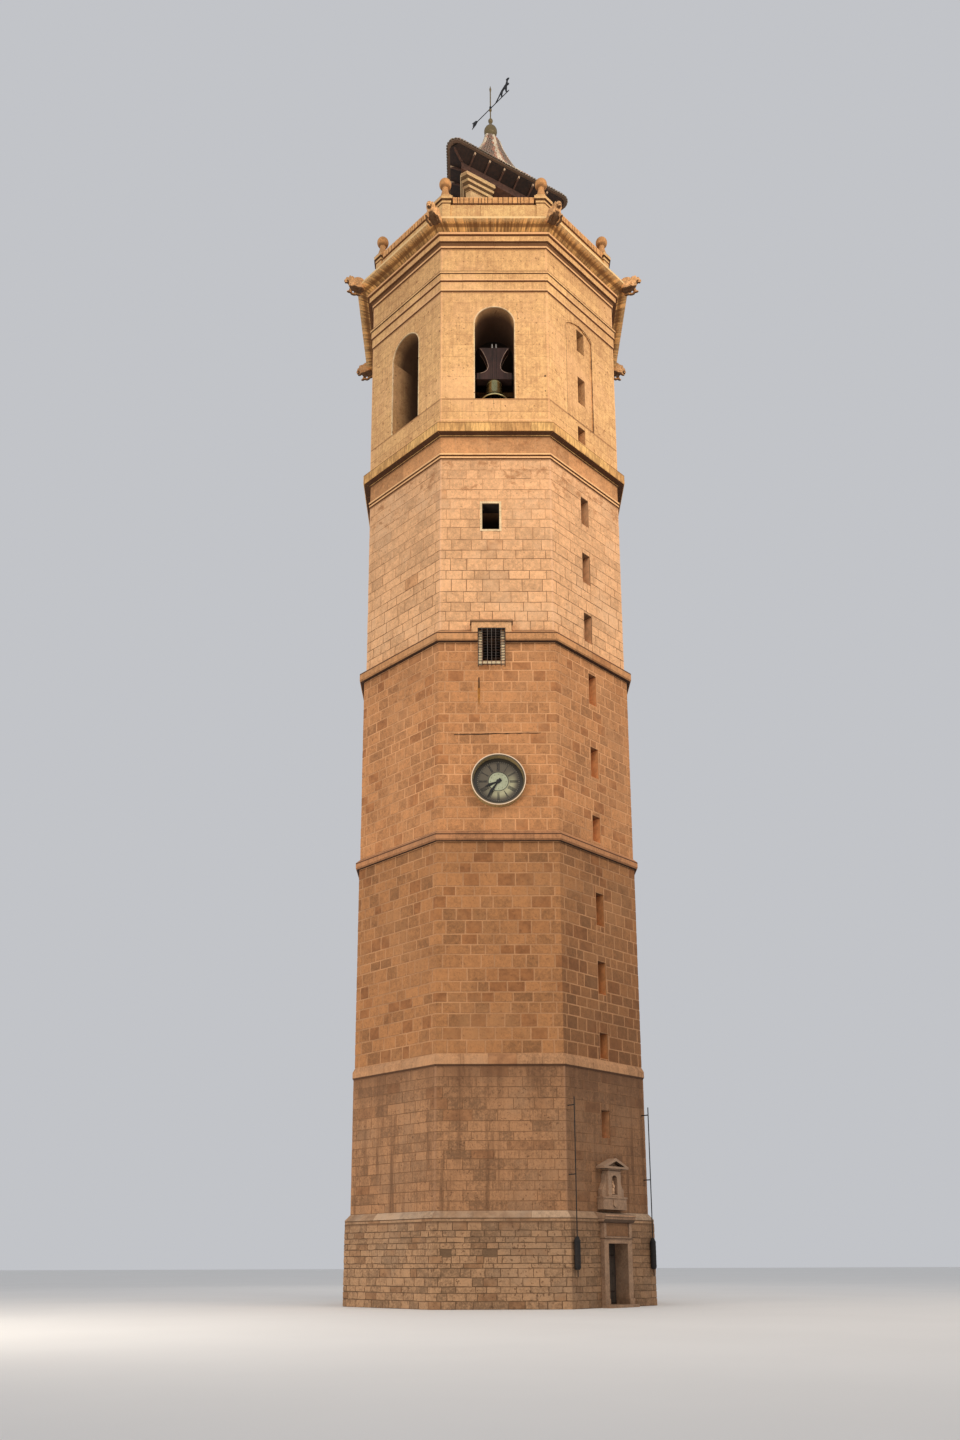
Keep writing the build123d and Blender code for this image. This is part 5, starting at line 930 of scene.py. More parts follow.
class TOWER_OT_mouldings(bpy.types.Operator):
    """Lay the string courses, the cornice and the weathered top of the plinth, stone by stone"""

    bl_idname = "tower.mouldings"
    bl_label = "Mouldings"

    def execute(self, context):
        stone = context.scene.tower_stone
        dice = random.Random(stone.seed + 1)
        # under darkens the mouldings' undersides with painted shade. Their dark lines are painted shadow under
        # the steps and dirt in the joints, and their pale lines painted highlights on lit edges.
        finish = {"runs": 0.4, "tones": 0.4, "brown": 0.15, "under": 0.97, "streaks": 0.6,
                  "edges": (scaled(stone.moulding, 0.4), 0.6)}
        paints = {
            "low": stone_paint("string_stone_1", stone.string_1, lines=[(4.405, 0.02, 0.9)], **finish),
            "middle": stone_paint("string_stone_2", stone.string_2, lines=[(8.988, 0.013, 0.9)], **finish),
            "high": stone_paint("string_stone_3", stone.string_3, lines=[(13.37, 0.014, 0.95)], **finish),
            "lit": stone_paint("upper_moulding_stone", stone.bell, lines=[
                (17.597, 0.009, 0.95), (17.63, 0.018, 0.6, True), (17.666, 0.012, 0.95),
                (17.71, 0.02, 0.6, True), (21.922, 0.013, 0.95), (21.952, 0.014, 0.6, True),
                (22.172, 0.013, 0.95), (22.2, 0.014, 0.5, True), (22.408, 0.009, 0.85), (23.083, 0.009, 0.9),
                (23.108, 0.014, 0.7, True), (23.158, 0.034, 0.95), (23.333, 0.008, 0.9),
                (23.37, 0.022, 0.8, True), (23.402, 0.008, 0.8)],
                **{**finish, "runs": 0.2, "tones": 0.2, "brown": 0.0}),
            "fascia": cavetto_paint("string_stone_4", tinted(stone.bell, 1.0, 0.98, 0.82), 18.405, 0.55,
                                    0.97),
            "streaked": cavetto_paint("cavetto_stone", tinted(stone.moulding, 1.35, 1.5, 1.5), 23.505, 0.9,
                                      0.0),
            "pale": stone_paint("weathering_stone", stone.weathering,
                                **{**finish, "runs": 0.35, "tones": 0.6}),
            "plinth": stone_paint("plinth_head_stone", stone.plinth, lines=[(1.592, 0.01, 0.8)],
                                  **{**finish, "streaks": 0.0}),
        }
        window = {FRONT: [(None, WINDOW_SIDE - 0.286), (WINDOW_SIDE + 0.286, None)]}
        foot, top = ASTRAGAL
        astragal = [(STAGE_4_HALF + 0.038 * out, foot + (top - foot) * rise)
                    for out, rise in ((0, 0), (0.7, 0.08), (0.7, 0.36), (0.2, 0.44), (0.2, 0.54), (1, 0.6),
                                      (1, 0.88), (0, 1))]
        # Course, paint, usual length of a stone, section
        courses = [
            ("plinth_weathering", "pale", 0.72, [
                (ROOM_HALF, 1.6), (3.022, 1.6), (3.022, 1.615), (STAGE_1_HALF, 1.73), (ROOM_HALF, 1.73)]),
            ("plinth_head", "plinth", 0.32, [
                (ROOM_HALF, 1.541), (3.018, 1.541), (3.018, 1.6), (ROOM_HALF, 1.6)]),
            ("string_course_1", "low", 0.5, string_course(STAGE_1_HALF, STAGE_2_HALF, STRING_1, 0.025)),
            ("string_course_2", "middle", 0.5, string_course(STAGE_2_HALF, STAGE_3_HALF, STRING_2, 0.075)),
            ("string_course_3", "high", 0.6, string_course(STAGE_3_HALF, STAGE_4_HALF, STRING_3, 0.1)),
            ("string_course_4", "fascia", 0.5, [
                (ROOM_HALF, 18.155), (2.86, 18.155), (2.86, 18.175), (2.988, 18.178), (3.0, 18.19),
                (3.0, 18.4), (BELL_HALF, 18.45), (ROOM_HALF, 18.45)]),
            ("astragal", "lit", 0.5, astragal),
            ("architrave", "lit", 0.6, [
                (ROOM_HALF, 21.915), (2.87, 21.915), (2.87, 22.165), (2.896, 22.165), (2.896, 22.355),
                (2.922, 22.355), (2.922, 22.415), (ROOM_HALF, 22.415)]),
            ("corona", "lit", 0.6, [
                (ROOM_HALF, 23.08), (2.875, 23.08), (2.9, 23.19), (2.955, 23.19), (2.955, 23.33),
                (3.0, 23.33), (3.0, 23.4), (ROOM_HALF, 23.4)]),
            ("cavetto", "streaked", 0.35, cavetto()),
        ]
        for name, paint, size, profile in courses:
            build = Build()
            cut_by_window = name == "string_course_3"
            ring_stones(build, profile, size, dice, window if cut_by_window else {})
            if cut_by_window:
                for side in (-0.235, 0.235):
                    build.box(FRONT, (2.7, WINDOW_SIDE + side, 13.35), (0.1, 0.3, 0.36))
            slot = "plinth_stone" if name.startswith("plinth") else "moulding_stone"
            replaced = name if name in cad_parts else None
            build.piece(f"{name}_stones", paints[paint], slot, replaces=replaced)
        return {"FINISHED"}


class TOWER_OT_parapet(bpy.types.Operator):
    """Lay the parapet's blocks and coping, and finish its pedestals and balls"""

    bl_idname = "tower.parapet"
    bl_label = "Parapet"

    def execute(self, context):
        stone = context.scene.tower_stone
        dice = random.Random(stone.seed + 2)
        lit = tinted(stone.bell, 1.15, 1.1, 1.1)
        wall = stone_paint("parapet_stone", lit, runs=0.25, tones=0.2, streaks=0.7)
        top = stone_paint("coping_stone", tinted(stone.bell, 0.92, 0.86, 0.76), tones=0.2, streaks=0.4,
                          lines=[(24.388, 0.012, 0.9), (24.55, 0.012, 0.6, True)])
        middle = 2.665
        half = PARAPET_HALF * tan(HALF_FACE) - 0.185
        coping_half = half - 0.048
        walls, coping, joints = Build(), Build(), Build()
        for face in FACES:
            marks = uneven(-half, half, 3, 0.2, dice)
            for start, end in zip(marks, marks[1:]):
                walls.box(face, (middle + dice.uniform(-0.001, 0.001), (start + end) / 2, 23.97),
                          (end - start - 0.004, 0.82, 0.25), dice.uniform(0.2, 0.9), 0.004)
            joints.box(face, (middle, 0, 24.47), (2 * coping_half - 0.01, 0.17, 0.29), 0.5, 0.01)
            marks = uneven(-coping_half, coping_half, 19, 0.45, dice)
            for start, end in zip(marks, marks[1:]):
                coping.box(face, (middle, (start + end) / 2, 24.4725), (end - start - 0.015, 0.185, 0.31),
                           dice.uniform(0.0, 1.0), 0.006)
        walls.piece("parapet_blocks", wall, "upper_stone", replaces="parapet_walls")
        coping.piece("coping_blocks", top, "moulding_stone", replaces="parapet_coping")
        joints.piece("coping_joints", mortar_paint("coping_mortar", (0.07, 0.035, 0.018)), "moulding_stone")
        plain = stone_paint("pedestal_stone", lit, runs=0.2, under=0.95, streaks=0.4,
                            lines=[(24.385, 0.01, 0.8), (24.462, 0.016, 0.85), (24.57, 0.01, 0.85)])
        paint_nodes(plain, "parapet_pedestals", "pedestal_caps")
        paint_nodes(stone_paint("ball_clay", stone.ball, runs=0.2, pits=0.4, grain=45.0), "corner_balls")
        return {"FINISHED"}


class TOWER_OT_gargoyles(bpy.types.Operator):
    """Carve the beasts at the corners of the cornice"""

    bl_idname = "tower.gargoyles"
    bl_label = "Gargoyles"

    def execute(self, context):
        stone = context.scene.tower_stone
        # Haunch, chest, neck, head, snout, nose, jaw and brow of a beast that looks along the x axis
        lumps = [
            ((3.46, 0, 23.6), (0.15, 0.13, 0.165), 12, 0),
            ((3.57, 0, 23.57), (0.13, 0.125, 0.14), 6, 0),
            ((3.645, 0, 23.59), (0.085, 0.1, 0.11), 0, 0),
            ((3.7, 0, 23.635), (0.08, 0.075, 0.08), 0, 0),
            ((3.755, 0, 23.64), (0.06, 0.07, 0.058), 0, 0),
            ((3.8, 0, 23.615), (0.042, 0.045, 0.032), 12, 0),
            ((3.79, 0, 23.572), (0.038, 0.035, 0.018), 22, 0),
            ((3.77, 0, 23.69), (0.034, 0.056, 0.016), 0, 0),
        ]
        # Hind leg and paw, foreleg and paw, ear, eye, mane and wing on each hand
        for hand in (-1, 1):
            lumps += [
                ((3.47, 0.11 * hand, 23.52), (0.1, 0.052, 0.11), 20, 0),
                ((3.57, 0.125 * hand, 23.43), (0.08, 0.034, 0.03), 0, 8 * hand),
                ((3.645, 0.088 * hand, 23.5), (0.042, 0.036, 0.1), -20, 0),
                ((3.69, 0.092 * hand, 23.425), (0.06, 0.034, 0.026), 0, 0),
                ((3.715, 0.06 * hand, 23.715), (0.022, 0.016, 0.045), -20, 0),
                ((3.79, 0.036 * hand, 23.66), (0.018, 0.018, 0.016), 0, 0),
                ((3.66, 0.072 * hand, 23.665), (0.06, 0.028, 0.08), -30, 10 * hand),
                ((3.5, 0.105 * hand, 23.67), (0.13, 0.024, 0.065), 18, 6 * hand),
            ]
        points, faces = carved(lumps, 0.011, 3)
        build = Build()
        for corner in FACES:
            start = len(build.points)
            turn = Matrix.Rotation(radians(-67.5 + 45 * corner), 3, "Z")
            build.points.extend(turn @ point for point in points)
            build.faces.extend(tuple(start + i for i in face) for face in faces)
            build.tones.extend([0.3 + 0.08 * corner] * len(faces))
        material = stone_paint("gargoyle_stone", tinted(stone.moulding, 1.3, 1.5, 2.0), runs=0.7, pits=0.6,
                               tones=0.3, brown=0.15, grain=45.0, relief=0.006, under=0.9, speckle=0.9,
                               streaks=0.8)
        build.piece("gargoyle_beasts", material, "moulding_stone", replaces="gargoyles", smooth=True)
        return {"FINISHED"}


class TOWER_OT_doorway(bpy.types.Operator):
    """Finish the doorway, its niche, its leaf and the step"""

    bl_idname = "tower.doorway"
    bl_label = "Doorway"

    def execute(self, context):
        stone = context.scene.tower_stone
        paint_nodes(stone_paint("doorway_stone", stone.doorway, runs=0.35, under=0.8, lines=[
            (1.24, 0.01, 0.7), (1.535, 0.02, 0.7), (1.6, 0.01, 0.5), (2.5, 0.012, 0.7)]),
            "door_surround", "door_cornice", "door_niche", "door_step")
        self.carve_figure(stone)
        panel, bands = Build(), Build()
        panel.box(DOORWAY, (3.081, 0, 1.405), (0.66, 0.235, 0.006), 0.4, 0.002)
        panel.piece("door_panel", stone_paint("panel_stone", tinted(stone.doorway, 0.7, 0.55, 0.4)),
                    "doorway_stone")
        for height, out, tall in ((1.651, 3.193, 0.022), (1.6, 3.173, 0.01)):
            bands.box(DOORWAY, (out, 0, height), (0.9, tall, 0.014), 0.5, 0.003)
        bands.piece("door_bands", stone_paint("band_stone", tinted(stone.doorway, 1.5, 1.4, 1.3)),
                    "doorway_stone")
        paint_nodes(mortar_paint("lintel_mortar", scaled(stone.plinth, 0.6)), "door_lintel_wall")
        wood = wood_paint("door_wood", (0.05, 0.035, 0.025))
        iron = metal_paint("door_iron", context.scene.tower_metal.iron, (0.1, 0.05, 0.03), 0.6, 0.5)
        paint_nodes(wood, "door_leaf")
        paint_nodes(iron, "door_pivots")
        planks, straps = Build(), Build()
        for i in range(5):
            planks.box(DOORWAY, (DOOR_FRONT + 0.001, -0.25 + 0.054 + i * 0.108, 0.625), (0.102, 1.1, 0.006),
                       0.5, 0.002)
        for height in (0.28, 0.94):
            straps.box(DOORWAY, (DOOR_FRONT + 0.0045, 0.0, height), (0.5, 0.03, 0.003), 0.5, 0.001)
        straps.tube([on_wall(DOORWAY, DOOR_FRONT + 0.008, 0.2 + 0.025 * sin(turn), 0.6 - 0.025 * cos(turn))
                     for turn in around(16) + [2 * pi]], 0.003, 8)
        planks.piece("door_planks", wood, "timber", body="door")
        straps.piece("door_straps", iron, "iron", body="door")
        return {"FINISHED"}

    def carve_figure(self, stone):
        """Carves the small robed figure in the niche."""
        outward, _ = face_axes(DOORWAY)
        turn = degrees(atan2(outward.y, outward.x))
        # Robe, chest, neck, head, arms, hands, base, nose, brow, mouth, chin: place, then size, on the face
        shapes = [(0, 0.0, 2.13, 0.034, 0.042, 0.085), (0.004, 0.0, 2.21, 0.028, 0.038, 0.065),
                  (0.002, 0.0, 2.262, 0.012, 0.013, 0.02), (0.002, 0.0, 2.293, 0.02, 0.018, 0.025),
                  (0.02, -0.024, 2.215, 0.016, 0.012, 0.035), (0.02, 0.024, 2.2, 0.016, 0.012, 0.035),
                  (0.03, 0.0, 2.19, 0.014, 0.024, 0.012), (0.0, 0.0, 2.07, 0.036, 0.05, 0.02),
                  (0.023, 0.0, 2.29, 0.004, 0.003, 0.007), (0.018, 0.0, 2.303, 0.005, 0.013, 0.003),
                  (0.02, 0.0, 2.28, 0.004, 0.006, 0.002), (0.017, 0.0, 2.273, 0.005, 0.007, 0.005)]
        lumps = [(on_wall(DOORWAY, 3.012 + out, side, height), radii, 0, turn)
                 for out, side, height, *radii in shapes]
        figure = Build()
        figure.points, figure.faces = carved(lumps, 0.0025, 2)
        figure.tones = [0.6] * len(figure.faces)
        pale = stone_paint("figure_stone", tinted(stone.doorway, 1.5, 1.45, 1.35), runs=0.2)
        figure.piece("niche_figure", pale, "doorway_stone", smooth=True)


class TOWER_OT_windows(bpy.types.Operator):
    """Fit the grille, the window surround and the hood"""

    bl_idname = "tower.windows"
    bl_label = "Windows"

    def execute(self, context):
        stone, metal = context.scene.tower_stone, context.scene.tower_metal
        iron = metal_paint("grille_iron", metal.iron, (0.12, 0.05, 0.025), 0.5, 0.55)
        paint_nodes(iron, "window_cage_frame")
        paint_nodes(stone_paint("surround_stone", tinted(stone.upper, 1.2, 1.45, 1.7), runs=0.1, pits=0.2),
                    "upper_window_surround")
        # The hood's dark top line is a painted shadow under its overhang, and its underside takes painted
        # shade.
        paint_nodes(stone_paint("hood_stone", tinted(stone.upper, 0.92, 0.9, 0.85), runs=0.2, under=0.97,
                                lines=[(13.634, 0.012, 0.95)]), "window_hood")
        dice = random.Random(stone.seed + 4)
        bars, uprights, blocks, lining = Build(), Build(), Build(), Build()
        back, front, reach = STAGE_3_HALF - 0.005, STAGE_3_HALF + 0.082, CAGE_HALF - 0.012
        rungs = [CAGE_SILL + 0.02 + (CAGE_HEAD - 0.03 - CAGE_SILL) * i / 13 for i in range(1, 13)]
        for height in rungs:
            corners = ((back, -reach), (front, -reach), (front, reach), (back, reach))
            bars.tube([on_wall(FRONT, out, WINDOW_SIDE + side, height) for out, side in corners], 0.0065, 8)
        post = GRILLE_HALF + 0.012
        for side in [WINDOW_SIDE + away for away in (-0.085, 0, 0.085, -post, post)]:
            ends = [on_wall(FRONT, front + 0.01, side, height) for height in (CAGE_SILL + 0.01, CAGE_HEAD)]
            uprights.tube(ends, 0.005, 8)
            bars.tube([on_wall(FRONT, out, side, CAGE_SILL + 0.02) for out in (back, front + 0.01)], 0.006, 8)
        wall, wide = STAGE_3_HALF + 0.002, reach - GRILLE_HALF
        levels = [12.68] + rungs[1:] + [CAGE_HEAD - 0.01]
        for low, high in zip(levels, levels[1:]):
            for hand in (-1, 1):
                side = WINDOW_SIDE + hand * (GRILLE_HALF + wide / 2 + 0.002)
                blocks.box(FRONT, (wall, side, (low + high) / 2), (wide - 0.008, high - low - 0.006, 0.012),
                           dice.uniform(0.2, 1.0), 0.003)
        for i in range(4):
            side = WINDOW_SIDE - GRILLE_HALF + (i + 0.5) * GRILLE_HALF / 2
            blocks.box(FRONT, (wall, side, 12.74), (GRILLE_HALF / 2 - 0.012, 0.085, 0.012),
                       dice.uniform(0.6, 1.0), 0.003)
        for half, low, high, wall in ((GRILLE_HALF, GRILLE_SILL + 0.002, GRILLE_HEAD - 0.01, STAGE_3_HALF),
                                      (WINDOW_HALF, WINDOW_SILL + 0.001, WINDOW_HEAD - 0.001, STAGE_4_HALF)):
            middle, depth = wall - 0.165, 0.3
            for hand in (-1, 1):
                lining.box(FRONT, (middle, WINDOW_SIDE + hand * (half - 0.004), (low + high) / 2),
                           (0.005, high - low, depth), 0.5, 0.001)
            for height in (low + 0.003, high - 0.003):
                lining.box(FRONT, (middle, WINDOW_SIDE, height), (2 * half - 0.014, 0.005, depth), 0.5, 0.001)
        grey = metal_paint("grey_iron", (0.11, 0.095, 0.085), (0.16, 0.1, 0.06), 0.3, 0.5)
        uprights.piece("grille_uprights", grey, "iron", smooth=True)
        pale = stone_paint("grille_stone", tinted(stone.upper, 1.25, 1.5, 1.9), runs=0.1, tones=0.7, brown=0.1)
        blocks.piece("grille_blocks", pale, "upper_stone")
        # Near-black linings inside the grille and window openings: painted shade.
        lining.piece("window_linings", wood_paint("shade_lining", (0.02, 0.013, 0.009)), "timber")
        bars.piece("grille_bars", iron, "iron", smooth=True)
        return {"FINISHED"}


class TOWER_OT_clock(bpy.types.Operator):
    """Finish the clock's ring, dial, numerals and hands"""

    bl_idname = "tower.clock"
    bl_label = "Clock"

    centre = Vector((0.01, -2.895, 10.12))
    numerals = ("XII", "I", "II", "III", "IIII", "V", "VI", "VII", "VIII", "IX", "X", "XI")
    # Strokes of a letter, as where they lie across at their foot and top, and how wide it is
    letters = {"I": ([(0, 0)], 0.018), "V": ([(0.0, -0.012), (0.0, 0.012)], 0.03),
               "X": ([(0.011, -0.011), (-0.011, 0.011)], 0.028)}

    def spot(self, angle, radius, across=0.0, lift=0.0):
        """A spot on the dial at an angle in degrees from the top, lifted off it."""
        turn = radians(angle)
        up, side = Vector((sin(turn), 0, cos(turn))), Vector((cos(turn), 0, -sin(turn)))
        return self.centre + up * radius + side * across + Vector((0, -lift, 0))

    def stroke(self, build, angle, ends, across, width, lift):
        """A flat bar that runs outwards between two radii, across the line at an angle."""
        corners = [(ends[0], across[0] - width / 2), (ends[0], across[0] + width / 2),
                   (ends[1], across[1] + width / 2), (ends[1], across[1] - width / 2)]
        build.solid([[self.spot(angle, *corner, level) for corner in corners] for level in (0, lift)])

    def execute(self, context):
        dial = context.scene.tower_metal.dial
        # The ring's pale front colour and the dial's pale colour below to the right are painted light.
        paint_nodes(clock_paint("ring_paint", (0.34, 0.25, 0.11), (0.8, 0.6, 0.42), self.centre, True),
                    "clock_ring")
        paint_nodes(clock_paint("dial_paint", dial, (0.42, 0.4, 0.24), self.centre), "clock_dial")
        paint_nodes(metal_paint("hand_iron", (0.008, 0.008, 0.008), (0.03, 0.03, 0.03), 0.3, 0.4),
                    "hour_hand", "minute_hand")
        dark, pale, ticks = Build(), Build(), Build()
        for hour, numeral in enumerate(self.numerals):
            reach = -sum(self.letters[letter][1] for letter in numeral) / 2
            for letter in numeral:
                strokes, wide = self.letters[letter]
                middle = reach + wide / 2
                reach += wide
                for foot, top in strokes:
                    self.stroke(dark, hour * 30, (0.225, 0.39), (middle + foot, middle + top), 0.009, 0.0025)
        for minute in range(60):
            wide = 0.008 if minute % 5 == 0 else 0.004
            self.stroke(ticks, minute * 6, (0.405, 0.425), (0, 0), wide, 0.002)
        pale.solid([[self.spot(k * 6, 0.193, lift=lift) for k in range(60)] for lift in (0.0, 0.002)])
        for inner, outer in ((0.193, 0.205), (0.43, 0.434)):
            section = ((inner, 0), (inner, 0.003), (outer, 0.003), (outer, 0))
            dark.grid([[self.spot(k * 6, radius, lift=lift) for k in range(60)] for radius, lift in section],
                      closed=True)
        for hour in range(12):
            dark.solid([[self.spot(hour * 30, 0.155 + 0.007 * cos(turn), 0.007 * sin(turn), lift)
                         for turn in around(8)] for lift in (0.002, 0.003)])
        paints = {
            "numeral": metal_paint("numeral_paint", (0.012, 0.011, 0.01), (0.03, 0.03, 0.025), 0.0, 0.5),
            "middle": metal_paint("middle_paint", (0.42, 0.45, 0.3), (0.24, 0.25, 0.15), 0.0, 0.4),
            "tick": metal_paint("tick_paint", (0.3, 0.27, 0.2), (0.15, 0.14, 0.1), 0.0, 0.5),
        }
        dark.piece("clock_numerals", paints["numeral"], "painted_dial")
        pale.piece("clock_middle", paints["middle"], "painted_dial")
        ticks.piece("clock_ticks", paints["tick"], "painted_dial")
        return {"FINISHED"}


class TOWER_OT_bell(bpy.types.Operator):
    """Finish the bell, its yoke, bearings and clapper"""

    bl_idname = "tower.bell"
    bl_label = "Bell"

    def execute(self, context):
        metal = context.scene.tower_metal
        bronze = metal_paint("bell_bronze", scaled(metal.bronze, 0.75), (0.2, 0.17, 0.08), 0.95, 0.12)
        # The bands are paler than the bell: a painted highlight along its rims.
        band_highlight_bronze = metal_paint("band_highlight_bronze", scaled(metal.bronze, 1.5), metal.bronze, 0.5, 0.3)
        iron = metal_paint("bell_iron", metal.iron, (0.1, 0.05, 0.03), 0.6, 0.5)
        paint_nodes(bronze, "bell")
        paint_nodes(wood_paint("yoke_wood", (0.045, 0.02, 0.016), (1.0, 1.0, 0.1)), "bell_yoke")
        paint_nodes(iron, "bell_bearings", "bell_clapper")
        bands, straps, edges, nuts = Build(), Build(), Build(), Build()
        for radius, drop, thick in ((0.309, 0.656, 0.012), (0.262, 0.6, 0.004), (0.167, 0.195, 0.003)):
            bands.lathe([(radius + thick * cos(turn), BELL_HEIGHT - drop + thick * sin(turn))
                         for turn in around(8) + [2 * pi]], 0.0, -BELL_OUT, 48)
        # Straps up the yoke and over its arms: side, width, foot and top from the pivot
        runs = [(-0.085, 0.008, -0.09, 0.5), (-0.045, 0.018, -0.09, 0.74), (0.0, 0.008, -0.09, 0.5),
                (0.045, 0.018, -0.09, 0.74), (0.085, 0.008, -0.09, 0.5), (-0.33, 0.03, -0.09, 0.075),
                (0.33, 0.03, -0.09, 0.075)]
        curves = (((0.308, 0.713), (0.19, 0.478), (0.14, 0.3)), ((0.14, 0.3), (0.185, 0.131), (0.308, 0.075)))
        for hand in (-1, 1):
            for side, wide, low, high in runs:
                straps.box(FRONT, (BELL_OUT + 0.0965 * hand, side, BELL_HEIGHT + (low + high) / 2),
                           (wide, high - low, 0.005), 0.5, 0.001)
            for side in (-1, 1):
                for ends in curves:
                    edges.tube([on_wall(FRONT, BELL_OUT + 0.095 * hand, x * side, BELL_HEIGHT + z)
                                for x, z in arc_through(*ends)], 0.006, 6)
        for side in (-0.045, 0.045):
            nuts.lathe([(0.0, 20.935), (0.013, 20.933), (0.016, 20.923), (0.016, 20.83), (0.026, 20.828),
                        (0.026, 20.799), (0.0, 20.799)], side, -2.4, 12)
        bell = "swinging_bell"
        bands.piece("bell_bands", band_highlight_bronze, "bronze", body=bell, smooth=True)
        # Pale tubes along the yoke's curved edges: a painted highlight.
        edge_highlight_wood = wood_paint("yoke_edge_highlight", (0.45, 0.32, 0.25))
        edges.piece("yoke_edges", edge_highlight_wood, "timber", body=bell, smooth=True)
        straps.piece("yoke_straps", iron, "iron", body=bell)
        pale_metal = metal_paint("nut_paint", (0.6, 0.58, 0.55), (0.4, 0.38, 0.35), 0.7, 0.35)
        nuts.piece("yoke_nuts", pale_metal, "iron", body=bell)
        return {"FINISHED"}


ROOF_BASE = 27.5
# The roof's outline at heights over its base: half width of a side, reach of a hip, radius of its nose
ROOF_LEVELS = [(0.0, 1.095, 1.965, 0.225), (0.045, 1.095, 1.965, 0.225), (0.375, 0.81, 1.375, 0.14),
               (0.775, 0.55, 0.85, 0.09), (1.115, 0.4, 0.6, 0.06), (1.375, 0.3, 0.46, 0.05),
               (1.7, 0.21, 0.3, 0.04), (2.075, 0.16, 0.19, 0.03)]
ROOF_TOP, LAST_HEAD = 2.0, 2.06


def roof_size(rise):
    for low, high in zip(ROOF_LEVELS, ROOF_LEVELS[1:]):
        if rise <= high[0]:
            share = (rise - low[0]) / (high[0] - low[0])
            return [a + (b - a) * share for a, b in zip(low[1:], high[1:])]
    return ROOF_LEVELS[-1][1:]


def roof_ring(rise, steps=6):
    """Outline of the roof at a height over its base, as (point, share of the way from a hip to mid-side)."""
    half, hip, nose = roof_size(rise)
    middle = (half * cos(radians(60)), half * sin(radians(60)))
    centre = hip - nose
    lean = atan2(middle[1], middle[0] - centre)
    spread = lean - acos(nose / hypot(middle[0] - centre, middle[1]))
    turns = [spread * k / steps for k in range(steps + 1)]
    curve = [(centre + nose * cos(turn), nose * sin(turn)) for turn in turns]
    x, y = curve[-1]
    curve += [(x + (middle[0] - x) * k / 8, y + (middle[1] - y) * k / 8) for k in range(1, 9)]
    there = [(x, y, k / (len(curve) - 1)) for k, (x, y) in enumerate(curve)]
    back = [(x, -y, share) for x, y, share in there[:0:-1]]
    loop, height = [], ROOF_BASE + rise
    for side in range(3):
        for hip_number, run in ((side, there[:-1]), (side + 1, back)):
            turn = radians(120 * hip_number)
            loop += [(Vector((x * cos(turn) - y * sin(turn), x * sin(turn) + y * cos(turn), height)), share)
                     for x, y, share in run]
    return loop


def walk(loop, pitch):
    """Evenly spaced spots round a closed outline, about a pitch apart: (point, share, direction)."""
    count = len(loop)
    lengths = [(loop[(i + 1) % count][0] - loop[i][0]).length for i in range(count)]
    total = sum(lengths)
    number = max(12, round(total / pitch))
    spots, i, done = [], 0, 0.0
    for k in range(number):
        target = total * k / number
        while done + lengths[i] < target:
            done += lengths[i]
            i += 1
        share = (target - done) / lengths[i] if lengths[i] else 0
        a, b = loop[i], loop[(i + 1) % count]
        spots.append((a[0].lerp(b[0], share), a[1] + (b[1] - a[1]) * share, (b[0] - a[0]).normalized()))
    return spots, total / number


